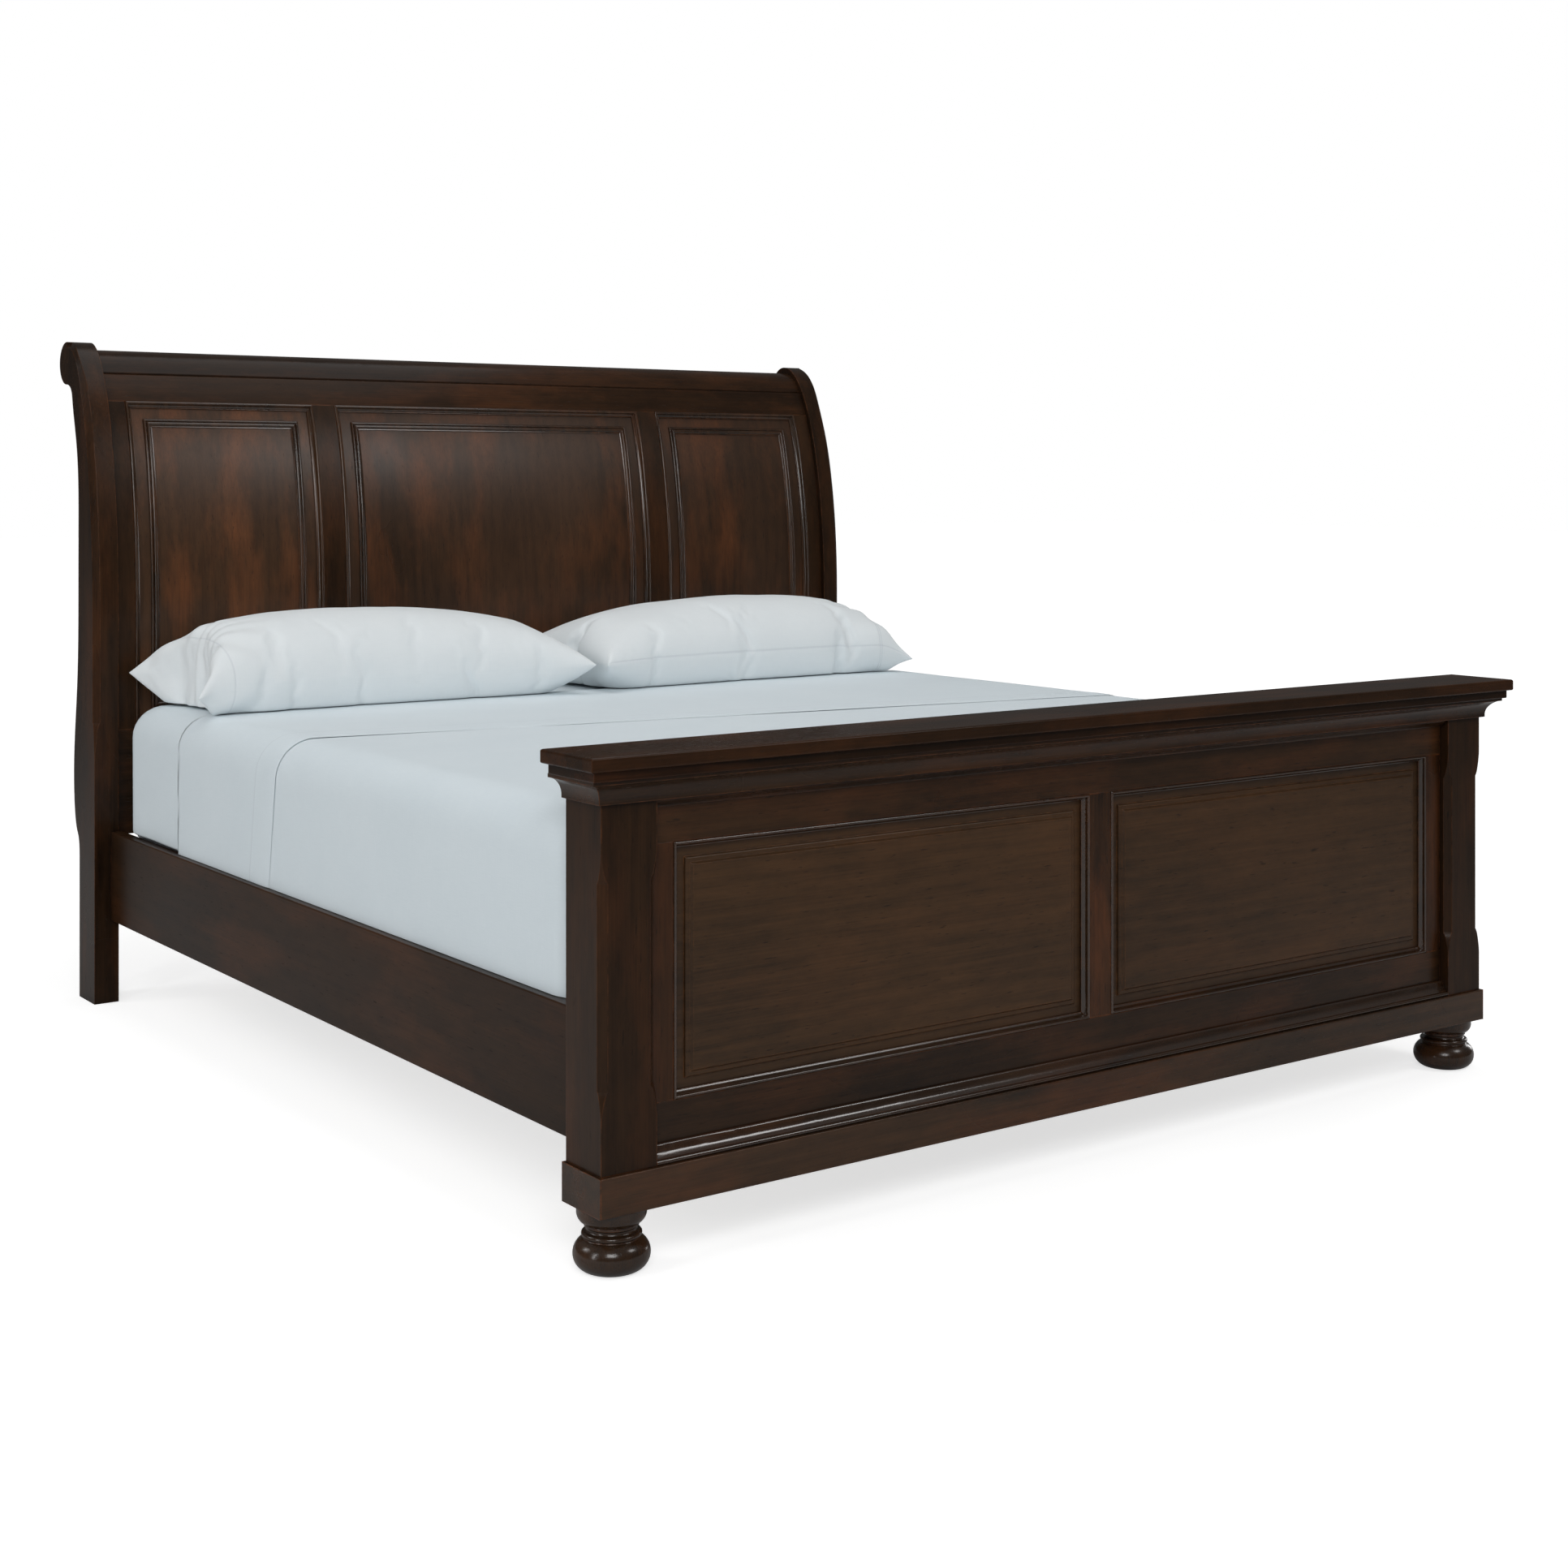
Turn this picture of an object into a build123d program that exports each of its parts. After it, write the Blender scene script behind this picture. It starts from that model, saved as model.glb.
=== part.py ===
from build123d import *
import math
import os

# A king sleigh bed: scrolled headboard, low panelled footboard on bun feet,
# side rails, slats with centre legs, foundation, mattress and two pillows.
# Millimetres. +Z is up, +Y points to the headboard, the origin is on the
# floor under the middle of the bed's bounding box.

# Overall sizes
BED_LENGTH = 2474.0
FRONT = -BED_LENGTH / 2

# Headboard posts
POST_OUT = 1066.0
POST_IN = 1010.0
LEG_FRONT = FRONT + 2228.0
LEG_DEPTH = 104.0
SWEEP_START = 880.0
SWEEP_DEPTH = 196.0
HEAD_TOP = 1518.0
SWEEP_RISE = HEAD_TOP - SWEEP_START
SCROLL_RADIUS = 50.0
ROLL_RADIUS = 33.0
HEAD_CHAMFER = 13.0
HEAD_CHAMFER_START = 545.0

# Headboard frame and panels
FRAME_RECESS = 14.0
FRAME_THICKNESS = 28.0
PANEL_RECESS = 24.0
PANEL_THICKNESS = 10.0
HEAD_FRAME_BOTTOM = 380.0
HEAD_PANEL_BOTTOM = 620.0
HEAD_PANEL_TOP = 1375.0
GROOVE_HEIGHT = 1443.0
OUTER_STILE_IN = 966.0
INNER_STILE_OUT = 498.0
INNER_STILE_IN = 440.0
PANEL_TONGUE = 8.0
INNER_BEAD_INSET = 41.0

# Footboard
CAP_HALF = 1086.0
CAP_TOP = 790.0
CAP_THICKNESS = 22.0
CAP_DEPTH = 152.0
STEP_HALF = 1077.0
STEP_BOTTOM = 752.0
COVE_BOTTOM = 713.0
COVE_OUT = 32.0
FOOT_POST_OUT = 1041.0
FOOT_POST_IN = 942.0
POST_FRONT = FRONT + 49.0
POST_BACK = FRONT + 152.0
FOOT_FRAME_FRONT = FRONT + 70.0
FOOT_FRAME_THICKNESS = 26.0
FOOT_PANEL_TOP = 642.0
FOOT_PANEL_BOTTOM = 247.0
FOOT_STILE_IN = 899.0
CENTRE_STILE_HALF = 26.0
BAND_DEPTH = 13.0
FIELD_INSET = 27.0
PLINTH_TOP = 158.0
PLINTH_BOTTOM = 97.5
PLINTH_HALF = 1046.0
PLINTH_FRONT = FRONT + 42.6
PLINTH_BACK = FRONT + 156.0
BUN_X = 992.0
BUN_Y = FRONT + 99.0

# Side rails and the parts under the mattress
RAIL_OUT = 1028.0
RAIL_IN = 1002.0
RAIL_BOTTOM = 187.0
RAIL_TOP = 390.0
RAIL_START = FRONT + 152.0
CLEAT_IN = 972.0
CLEAT_BOTTOM = 205.0
CLEAT_TOP = 235.0
SLAT_TOP = 255.0
SLAT_WIDTH = 90.0
SLAT_HALF = 998.0
SLAT_Y = [FRONT + 300 + 444 * step for step in range(5)]
LEG_Y = [SLAT_Y[1], SLAT_Y[2], SLAT_Y[3]]
LEG_SIZE = 45.0
LEG_BOTTOM = 22.0
FOUNDATION_TOP = 393.0
MATTRESS_BOTTOM = 393.4
MATTRESS_TOP = 688.0
MATTRESS_HALF = 1016.0
MATTRESS_FOOT = FRONT + 168.0
MATTRESS_HEAD = FRONT + 2210.0

# Pillows
PILLOW_LENGTH = 975.0
PILLOW_WIDTH = 470.0
PILLOW_HEIGHT = 214.0
PILLOW_X = 492.5
PILLOW_SHIFT = -27.5
PILLOW_Y = FRONT + 1966.0
GAP = 0.3

BRACKET_X = 1019.0
BRACKET_Z = (RAIL_BOTTOM + RAIL_TOP) / 2


def block(x0, x1, y0, y1, z0, z1):
    size = Box(abs(x1 - x0), abs(y1 - y0), abs(z1 - z0))
    return Pos((x0 + x1) / 2, (y0 + y1) / 2, (z0 + z1) / 2) * size


def rod(x, y, z0, z1, radius):
    return Pos(x, y, (z0 + z1) / 2) * Cylinder(radius, z1 - z0)


def lean(z):
    """How far the headboard's front face has leaned back at height z."""
    if z <= SWEEP_START:
        return 0.0
    rise = (z - SWEEP_START) / SWEEP_RISE
    return SWEEP_DEPTH * (1 - math.sqrt(max(0.0, 1 - rise * rise)))


def along(z):
    """Unit direction (y, z) up the headboard's front face at height z."""
    if z <= SWEEP_START:
        return (0.0, 1.0)
    rise = (z - SWEEP_START) / SWEEP_RISE
    run = SWEEP_DEPTH * rise / math.sqrt(1 - rise * rise) / SWEEP_RISE
    length = math.hypot(run, 1.0)
    return (run / length, 1.0 / length)


def face_line(z0, z1, depth):
    """Edges from z0 up to z1 that follow the front face, set back by depth."""
    if z1 <= SWEEP_START:
        return [Line((LEG_FRONT + depth, z0), (LEG_FRONT + depth, z1))]
    edges = []
    low = z0
    if z0 < SWEEP_START:
        low = SWEEP_START
        edges.append(Line((LEG_FRONT + depth, z0), (LEG_FRONT + depth, low)))
    heights = [low + (z1 - low) * step / 6 for step in range(7)]
    points = [(LEG_FRONT + lean(z) + depth, z) for z in heights]
    edges.append(Spline(*points, tangents=(along(low), along(z1))))
    return edges


def curved_board(x0, x1, z0, z1, depth, thickness, top_bevel=0.0, bottom_bevel=0.0):
    """A board that follows the headboard's sweep, with small bevels in front."""
    front = face_line(z0 + bottom_bevel, z1 - top_bevel, depth)
    back = face_line(z0, z1, depth + thickness)
    low = (LEG_FRONT + lean(z0) + depth, z0)
    high = (LEG_FRONT + lean(z1) + depth, z1)
    low_back = (LEG_FRONT + lean(z0) + depth + thickness, z0)
    high_back = (LEG_FRONT + lean(z1) + depth + thickness, z1)
    edges = front + back
    if top_bevel:
        start = (LEG_FRONT + lean(z1 - top_bevel) + depth, z1 - top_bevel)
        high = (high[0] + top_bevel, z1)
        edges.append(Line(start, high))
    if bottom_bevel:
        start = (LEG_FRONT + lean(z0 + bottom_bevel) + depth, z0 + bottom_bevel)
        low = (low[0] + bottom_bevel, z0)
        edges.append(Line(start, low))
    edges.append(Line(low, low_back))
    edges.append(Line(high, high_back))
    profile = Plane.YZ.offset(x0) * make_face(edges)
    return extrude(profile, x1 - x0)


def stop_chamfer(x, y, side, z0, z1, cut, run=52.0):
    """Cutter for a chamfer on an upright edge that ends in a lamb's tongue."""
    lower = Spline((0, z0), (cut * 0.35, z0 + run * 0.62), (cut, z0 + run), tangents=((0, 1), (0.6, 1)))
    upper = Spline((cut, z1 - run), (cut * 0.35, z1 - run * 0.62), (0, z1), tangents=((-0.6, 1), (0, 1)))
    middle = Line((cut, z0 + run), (cut, z1 - run))
    outside = Polyline((0, z1), (-cut * 2, z1), (-cut * 2, z0), (0, z0))
    outline = make_face([lower, middle, upper, outside])
    inward = Vector(side, 1, 0).normalized()
    plane = Plane(origin=(x, y, 0), x_dir=inward, z_dir=inward.cross(Vector(0, 0, 1)))
    return extrude(plane * outline, cut * 3, both=True)


def head_chamfer(x, side):
    """Cutter for the long chamfer up the outer front edge of a headboard post."""
    cut = HEAD_CHAMFER
    lower = stop_chamfer(x, LEG_FRONT, side, HEAD_CHAMFER_START, HEAD_TOP, cut * 0.7071, run=95.0)
    lower = lower & block(x - 60, x + 60, LEG_FRONT - 60, LEG_FRONT + 60, HEAD_CHAMFER_START, SWEEP_START)
    path = [Plane.YZ.offset(x) * edge for edge in face_line(SWEEP_START, HEAD_TOP - 0.02, 0.0)]
    corner = Polyline((-cut, 0), (0, cut), (cut, cut), (cut, -cut), (-cut, -cut), close=True)
    plane = Plane(origin=(x, LEG_FRONT, SWEEP_START), x_dir=(-side, 0, 0), z_dir=(0, 0, -side))
    upper = sweep(plane * make_face(corner), path=Wire(path))
    return [lower, upper]


def scroll_outline():
    """Side view of a headboard post: straight leg, back sweep and scroll."""
    front = LEG_FRONT
    centre = front + SWEEP_DEPTH
    middle = HEAD_TOP - SCROLL_RADIUS
    toe = Line((front, 0), (front, SWEEP_START))
    sweep_line = EllipticalCenterArc((centre, SWEEP_START), SWEEP_DEPTH, SWEEP_RISE, 90, arc_size=90)
    scroll = CenterArc((centre, middle), SCROLL_RADIUS, 90, -180)
    under = middle - SCROLL_RADIUS
    quirk = Bezier((centre, under), (front + 172, under), (front + 160, under - 14), (front + 157, under - 30))
    spine = Spline(
        (front + 157, under - 30),
        (front + 126, 1278),
        (front + 112, 1040),
        (front + 122, 710),
        (front + 143, 485),
        (front + 122, 384),
        (front + LEG_DEPTH, 325),
        tangents=((-0.2, -1), (0, -1)),
    )
    heel = Polyline((front + LEG_DEPTH, 325), (front + LEG_DEPTH, 0), (front, 0))
    return make_face([toe, sweep_line, scroll, quirk, spine, heel])


def hook_pocket(side, y, toward):
    """Mortise for a slotted plate and the hooks that pass through it."""
    x = side * BRACKET_X
    plate = block(x - 8, x + 8, y, y + toward * 3, BRACKET_Z - 80, BRACKET_Z + 80)
    hollow = block(x - 4, x + 4, y, y + toward * 20, BRACKET_Z - 62, BRACKET_Z + 62)
    return plate + hollow


def bracket_screw_spots(side):
    return [(side * BRACKET_X, BRACKET_Z + rise) for rise in (-71, 71)]


def screw_along_y(x, z, y, toward, length=28.0, radius=2.0):
    """A countersunk screw whose head is flush at y and whose point goes toward."""
    shank = Rot(-90 * toward, 0, 0) * Pos(0, 0, length / 2) * Cylinder(radius, length)
    head = Rot(-90 * toward, 0, 0) * Pos(0, 0, 1.1) * Cone(radius + 2.2, radius, 2.2)
    return Pos(x, y, z) * (shank + head)


def headboard_post(side):
    x0 = side * POST_IN
    thickness = POST_OUT - POST_IN
    profile = Plane.YZ.offset(min(x0, side * POST_OUT)) * scroll_outline()
    post = extrude(profile, thickness)
    for cutter in head_chamfer(side * POST_OUT, -side):
        post = post - cutter
    post = post - hook_pocket(side, LEG_FRONT, 1)
    for x, z in bracket_screw_spots(side):
        post = post - screw_along_y(x, z, LEG_FRONT, 1, 28.1, 2.05)
    return post


def roll_rail():
    """Scrolled top rail between the posts, a step smaller than their scroll."""
    start = LEG_FRONT + lean(GROOVE_HEIGHT) + FRAME_RECESS
    bevel = 3.0
    centre = LEG_FRONT + SWEEP_DEPTH
    middle = HEAD_TOP - SCROLL_RADIUS
    low = GROOVE_HEIGHT + bevel
    first = (LEG_FRONT + lean(low) + FRAME_RECESS, low)
    front = Spline(first, (centre, middle + ROLL_RADIUS), tangents=(along(low), (1, 0)))
    roll = CenterArc((centre, middle), ROLL_RADIUS, 90, -205)
    tail = roll @ 1
    quirk = Line(tail, (start + 34, GROOVE_HEIGHT))
    base = Polyline((start + 34, GROOVE_HEIGHT), (start + bevel, GROOVE_HEIGHT), first)
    profile = Plane.YZ.offset(-POST_IN) * make_face([front, roll, quirk, base])
    return extrude(profile, 2 * POST_IN)


def head_panel_spans():
    return [
        (-OUTER_STILE_IN, -INNER_STILE_OUT),
        (-INNER_STILE_IN, INNER_STILE_IN),
        (INNER_STILE_OUT, OUTER_STILE_IN),
    ]


def grooved(board, left, right, low, high):
    """Cut one panel's groove into a frame member of the headboard."""
    reach = PANEL_TONGUE + GAP
    groove = curved_board(
        left - reach, right + reach, low - reach, high + reach,
        PANEL_RECESS - GAP, PANEL_THICKNESS + 2 * GAP,
    )
    return board - groove


def at_shoulder(board, keep):
    """Trim a frame member where the stiles meet the top rail, square to the sweep."""
    origin = sweep_point(0, HEAD_PANEL_TOP, PANEL_RECESS)
    shoulder = Plane(origin=origin, x_dir=(1, 0, 0), z_dir=Vector(0, *along(HEAD_PANEL_TOP)))
    return split(board, bisect_by=shoulder, keep=keep)


def head_frame_member(x0, x1, z0, z1, top_bevel=0.0, keep=None):
    board = curved_board(x0, x1, z0, z1, FRAME_RECESS, FRAME_THICKNESS, top_bevel)
    if keep is not None:
        board = at_shoulder(board, keep)
    for left, right in head_panel_spans():
        if left - PANEL_TONGUE < x1 and right + PANEL_TONGUE > x0:
            board = grooved(board, left, right, HEAD_PANEL_BOTTOM, HEAD_PANEL_TOP)
    return board


def head_stile(x0, x1):
    return head_frame_member(x0, x1, HEAD_PANEL_BOTTOM, HEAD_PANEL_TOP + 20, 0.0, Keep.BOTTOM)


def head_panel(left, right):
    reach = PANEL_TONGUE
    return curved_board(
        left + 0.2 - reach, right - 0.2 + reach,
        HEAD_PANEL_BOTTOM - reach, HEAD_PANEL_TOP + reach,
        PANEL_RECESS, PANEL_THICKNESS,
    )


def edge_profile():
    """Sticking moulding: a bead that rises over the frame, then a cove."""
    bead = ThreePointArc((0, 10.5), (3.2, 13.2), (6.4, 10.5))
    cove = ThreePointArc((6.4, 10.5), (8.8, 5.4), (13.0, 3.0))
    rest = Polyline((13.0, 3.0), (14.0, 3.0), (14.0, 0.2), (0, 0.2), (0, 10.5))
    return make_face([bead, cove, rest])


def bead_profile():
    """Planted moulding: a small bead outside a larger one."""
    small = ThreePointArc((0, 1.8), (3.2, 4.7), (6.4, 1.8))
    gap = Line((6.4, 1.8), (7.0, 1.8))
    large = ThreePointArc((7.0, 1.8), (11.8, 6.4), (16.6, 1.8))
    rest = Polyline((16.6, 1.8), (20.0, 1.4), (20.0, 0.2), (0, 0.2), (0, 1.8))
    return make_face([small, gap, large, rest])


def mitred(strip, point, direction, inward, ahead):
    """Trim one end of a strip on the mitre plane through its outer corner."""
    keep = direction * ahead - inward
    keep = keep.normalized()
    plane = Plane(origin=point + keep * 0.08, z_dir=keep)
    return split(strip, bisect_by=plane, keep=Keep.TOP)


def straight_strip(start, end, inward, profile):
    """A mitred moulding strip from start to end; inward points to the panel."""
    direction = (end - start).normalized()
    plane = Plane(origin=start, x_dir=inward, z_dir=direction)
    strip = extrude(plane * profile, (end - start).length)
    strip = mitred(strip, start, direction, inward, 1)
    return mitred(strip, end, direction, inward, -1)


def sweep_point(x, z, depth):
    return Vector(x, LEG_FRONT + lean(z) + depth, z)


def upright_strip(x, z0, z1, depth, inward, profile):
    """A mitred strip that climbs the headboard's sweep on one side of a panel."""
    path = [Plane.YZ.offset(x) * edge for edge in face_line(z0, z1, depth)]
    low = sweep_point(x, z0, depth)
    high = sweep_point(x, z1, depth)
    up_low = Vector(0, *along(z0))
    up_high = Vector(0, *along(z1))
    section = profile if inward.X < 0 else mirror(profile, Plane.YZ)
    plane = Plane(origin=low, x_dir=(-1, 0, 0), z_dir=up_low)
    strip = sweep(plane * section, path=Wire(path))
    strip = mitred(strip, low, up_low, inward, 1)
    return mitred(strip, high, up_high, inward, -1)


def head_moulding(left, right, inset, profile):
    """Four mitred strips round one headboard panel, lying on its face."""
    x0 = left + inset + 0.2
    x1 = right - inset - 0.2
    z0 = HEAD_PANEL_BOTTOM + inset + 0.2
    top_run = (inset + 0.2) * along(HEAD_PANEL_TOP)[1]
    z1 = HEAD_PANEL_TOP - top_run
    depth = PANEL_RECESS
    up = Vector(0, *along(z1))
    bottom = straight_strip(sweep_point(x0, z0, depth), sweep_point(x1, z0, depth), Vector(0, 0, 1), profile)
    top = straight_strip(sweep_point(x1, z1, depth), sweep_point(x0, z1, depth), up * -1, profile)
    right_side = upright_strip(x1, z0, z1, depth, Vector(-1, 0, 0), profile)
    left_side = upright_strip(x0, z0, z1, depth, Vector(1, 0, 0), profile)
    return [bottom, right_side, top, left_side]


def foot_cap():
    cap = block(-CAP_HALF, CAP_HALF, FRONT, FRONT + CAP_DEPTH, CAP_TOP - CAP_THICKNESS, CAP_TOP)
    top_edges = cap.edges().group_by(Axis.Z)[-1]
    low_edges = cap.edges().group_by(Axis.Z)[0]
    cap = fillet(top_edges, 4.0)
    low_edges = cap.edges().group_by(Axis.Z)[0]
    return fillet(low_edges, 3.0)


def cap_step():
    step = block(-STEP_HALF, STEP_HALF, FRONT + 9, FRONT + 143, STEP_BOTTOM, CAP_TOP - CAP_THICKNESS)
    return fillet(step.edges().group_by(Axis.Z)[0], 2.0)


def cove_outline():
    """Cove moulding: x is how far it stands out from the post, y is height."""
    hollow = ThreePointArc((8, COVE_BOTTOM + 4), (13.5, COVE_BOTTOM + 22), (COVE_OUT - 3, STEP_BOTTOM - 6))
    shape = Polyline(
        (COVE_OUT - 3, STEP_BOTTOM - 6), (COVE_OUT, STEP_BOTTOM - 6), (COVE_OUT, STEP_BOTTOM),
        (0, STEP_BOTTOM), (0, COVE_BOTTOM), (8, COVE_BOTTOM), (8, COVE_BOTTOM + 4),
    )
    return make_face([hollow, shape])


def corner_split(shape, side, front_piece):
    """Keep one side of the upright mitre at the footboard's outer corner."""
    keep = Vector(-side, -1, 0) if front_piece else Vector(side, 1, 0)
    keep = keep.normalized()
    origin = Vector(side * FOOT_POST_OUT, POST_FRONT, 0) + keep * 0.08
    return split(shape, bisect_by=Plane(origin=origin, z_dir=keep), keep=Keep.TOP)


def cove_moulding():
    outline = cove_outline()
    reach = FOOT_POST_OUT + COVE_OUT
    plane = Plane(origin=(-reach, POST_FRONT, 0), x_dir=(0, -1, 0), z_dir=(-1, 0, 0))
    front = extrude(plane * outline, -2 * reach)
    front = corner_split(front, -1, True)
    front = corner_split(front, 1, True)
    pieces = [front]
    for side in (-1, 1):
        start = POST_FRONT - COVE_OUT
        plane = Plane(origin=(side * FOOT_POST_OUT, start, 0), x_dir=(side, 0, 0), z_dir=(0, -side, 0))
        end = extrude(plane * outline, -side * (POST_BACK - start))
        pieces.append(corner_split(end, side, False))
    return pieces


def foot_post(side):
    x0 = side * FOOT_POST_IN
    x1 = side * FOOT_POST_OUT
    post = block(x0, x1, POST_FRONT, POST_BACK, PLINTH_BOTTOM, STEP_BOTTOM)
    for x, inward in ((x1, -side), (x0, side)):
        post = post - stop_chamfer(x, POST_FRONT, inward, 232, 646, 8.5)
    skirt = block(x0 - side, side * (FOOT_POST_OUT + 1), POST_FRONT - 1, FOOT_FRAME_FRONT, 0, PLINTH_TOP)
    flank = block(side * (PLINTH_HALF - 20), x1 + side, POST_FRONT - 1, POST_BACK + 1, 0, PLINTH_TOP)
    post = post - skirt - flank
    post = post - rod(side * BUN_X, BUN_Y, 90, 151, 5.05)
    post = post - hook_pocket(side, POST_BACK, -1)
    for x, z in bracket_screw_spots(side):
        post = post - screw_along_y(x, z, POST_BACK, -1, 28.1, 2.05)
    return post


def foot_panel_spans():
    return [(-FOOT_STILE_IN, -CENTRE_STILE_HALF), (CENTRE_STILE_HALF, FOOT_STILE_IN)]


def foot_frame_member(x0, x1, z0, z1):
    board = block(x0, x1, FOOT_FRAME_FRONT, FOOT_FRAME_FRONT + FOOT_FRAME_THICKNESS, z0, z1)
    reach = PANEL_TONGUE + GAP
    y0 = FOOT_FRAME_FRONT + BAND_DEPTH - 0.1
    for left, right in foot_panel_spans():
        board = board - block(
            left - reach, right + reach, y0, y0 + 10.2,
            FOOT_PANEL_BOTTOM - reach, FOOT_PANEL_TOP + reach,
        )
    return board


def foot_panel(left, right):
    """A raised panel: thin tongue all round, a beaded step and a raised field."""
    reach = PANEL_TONGUE
    y0 = FOOT_FRAME_FRONT + BAND_DEPTH
    board = block(left - reach, right + reach, y0, y0 + 10, FOOT_PANEL_BOTTOM - reach, FOOT_PANEL_TOP + reach)
    low = FOOT_PANEL_BOTTOM + FIELD_INSET
    high = FOOT_PANEL_TOP - FIELD_INSET
    step = block(left + FIELD_INSET, right - FIELD_INSET, y0 - 5, y0 + 1, low, high)
    step = fillet(step.edges().group_by(Axis.Y)[0], 4.0)
    field = block(left + FIELD_INSET + 8, right - FIELD_INSET - 8, y0 - 9, y0 + 1, low + 8, high - 8)
    field = chamfer(field.edges().group_by(Axis.Y)[0], 3.9, 4.6)
    return board + step + field


def foot_moulding(left, right):
    """Four mitred sticking strips round one footboard panel."""
    y = FOOT_FRAME_FRONT + 10
    x0 = left + 0.1
    x1 = right - 0.1
    z0 = FOOT_PANEL_BOTTOM + 0.1
    z1 = FOOT_PANEL_TOP - 0.1
    corners = [Vector(x0, y, z0), Vector(x1, y, z0), Vector(x1, y, z1), Vector(x0, y, z1)]
    inwards = [Vector(0, 0, 1), Vector(-1, 0, 0), Vector(0, 0, -1), Vector(1, 0, 0)]
    bead = ThreePointArc((0, 10.0), (2.6, 12.4), (5.2, 10.0))
    cove = ThreePointArc((5.2, 10.0), (7.0, 3.6), (11.0, 0.6))
    rest = Polyline((11.0, 0.6), (11.0, -2.8), (0, -2.8), (0, 10.0))
    profile = make_face([bead, cove, rest])
    return [straight_strip(corners[n], corners[(n + 1) % 4], inwards[n], profile) for n in range(4)]


def frieze_moulding():
    """Small ogee under the cove, with the block that backs the cove."""
    front = FRONT + 49.2
    back = FOOT_FRAME_FRONT
    low = COVE_BOTTOM - 15
    ogee = Spline((back - 4, low), (back - 8, low + 5), (front + 5, low + 11), tangents=((-0.2, 1), (-0.6, 0.5)))
    rest = Polyline(
        (front + 5, low + 11), (front + 5, COVE_BOTTOM), (front, COVE_BOTTOM),
        (front, STEP_BOTTOM), (back, STEP_BOTTOM), (back, low), (back - 4, low),
    )
    profile = Plane.YZ.offset(-FOOT_POST_IN) * make_face([ogee, rest])
    return extrude(profile, 2 * FOOT_POST_IN)


def base_moulding():
    """Ogee that steps from the bottom rail out to the plinth."""
    back = FOOT_FRAME_FRONT
    front = FRONT + 48
    ogee = Spline(
        (back - 4, PLINTH_TOP + 28), (back - 8, PLINTH_TOP + 18), (front + 6, PLINTH_TOP + 8),
        tangents=((-1, -0.3), (-0.7, -0.7)),
    )
    bead = ThreePointArc((front + 6, PLINTH_TOP + 8), (front + 0.6, PLINTH_TOP + 5), (front + 2, PLINTH_TOP))
    rest = Polyline((front + 2, PLINTH_TOP), (back, PLINTH_TOP), (back, PLINTH_TOP + 28), (back - 4, PLINTH_TOP + 28))
    profile = Plane.YZ.offset(-FOOT_POST_IN) * make_face([ogee, bead, rest])
    return extrude(profile, 2 * FOOT_POST_IN)


def plinth_front():
    board = block(-PLINTH_HALF, PLINTH_HALF, PLINTH_FRONT, FOOT_FRAME_FRONT, PLINTH_BOTTOM, PLINTH_TOP)
    for side in (-1, 1):
        keep = Vector(-side * 0.59, -0.807, 0).normalized()
        corner = Vector(side * PLINTH_HALF, PLINTH_FRONT, 0) + keep * 0.08
        board = split(board, bisect_by=Plane(origin=corner, z_dir=keep), keep=Keep.TOP)
    front_edges = board.edges().filter_by(Axis.X).group_by(Axis.Y)[0]
    return fillet(front_edges, 2.0)


def plinth_return(side):
    inner = side * (PLINTH_HALF - 20)
    board = block(inner, side * PLINTH_HALF, PLINTH_FRONT, PLINTH_BACK, PLINTH_BOTTOM, PLINTH_TOP)
    keep = Vector(side * 0.59, 0.807, 0).normalized()
    corner = Vector(side * PLINTH_HALF, PLINTH_FRONT, 0) + keep * 0.08
    return split(board, bisect_by=Plane(origin=corner, z_dir=keep), keep=Keep.TOP)


def bun_foot(side):
    """Turned foot: flattened ball, ring, neck, fillet and flared collar."""
    sole = Polyline((0, 97.5), (0, 0), (33, 0))
    ball = ThreePointArc((33, 0), (59.5, 25), (44.5, 50))
    ledge = Line((44.5, 50), (43.5, 51.5))
    ring = ThreePointArc((43.5, 51.5), (46.6, 55.8), (43.5, 60))
    neck = ThreePointArc((43.5, 60), (38.4, 64.2), (40.6, 68.4))
    fillet_ring = Polyline((40.6, 68.4), (42.2, 68.4), (42.2, 71.4), (41.6, 72))
    collar = ThreePointArc((41.6, 72), (50.4, 78.4), (54, 90))
    top = Polyline((54, 90), (54, 97.5), (0, 97.5))
    outline = make_face([sole, ball, ledge, ring, neck, fillet_ring, collar, top])
    foot = revolve(Plane.XZ * outline, Axis.Z)
    foot = Pos(side * BUN_X, BUN_Y, 0) * foot
    return foot - rod(side * BUN_X, BUN_Y, 55, 98, 5.05)


def hanger_bolts():
    return [rod(side * BUN_X, BUN_Y, 56, 150, 5.0) for side in (-1, 1)]


def side_rail(side):
    rail = block(side * RAIL_IN, side * RAIL_OUT, RAIL_START, LEG_FRONT, RAIL_BOTTOM, RAIL_TOP)
    outer = rail.edges().filter_by(Axis.Y)
    rail = fillet(outer, 2.5)
    for y, toward in ((RAIL_START, 1), (LEG_FRONT, -1)):
        x = side * BRACKET_X
        rail = rail - block(x - 8, x + 8, y, y + toward * 3, BRACKET_Z - 80, BRACKET_Z + 80)
        for sx, sz in bracket_screw_spots(side):
            rail = rail - screw_along_y(sx, sz, y, toward, 28.1, 2.05)
    return rail


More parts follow.
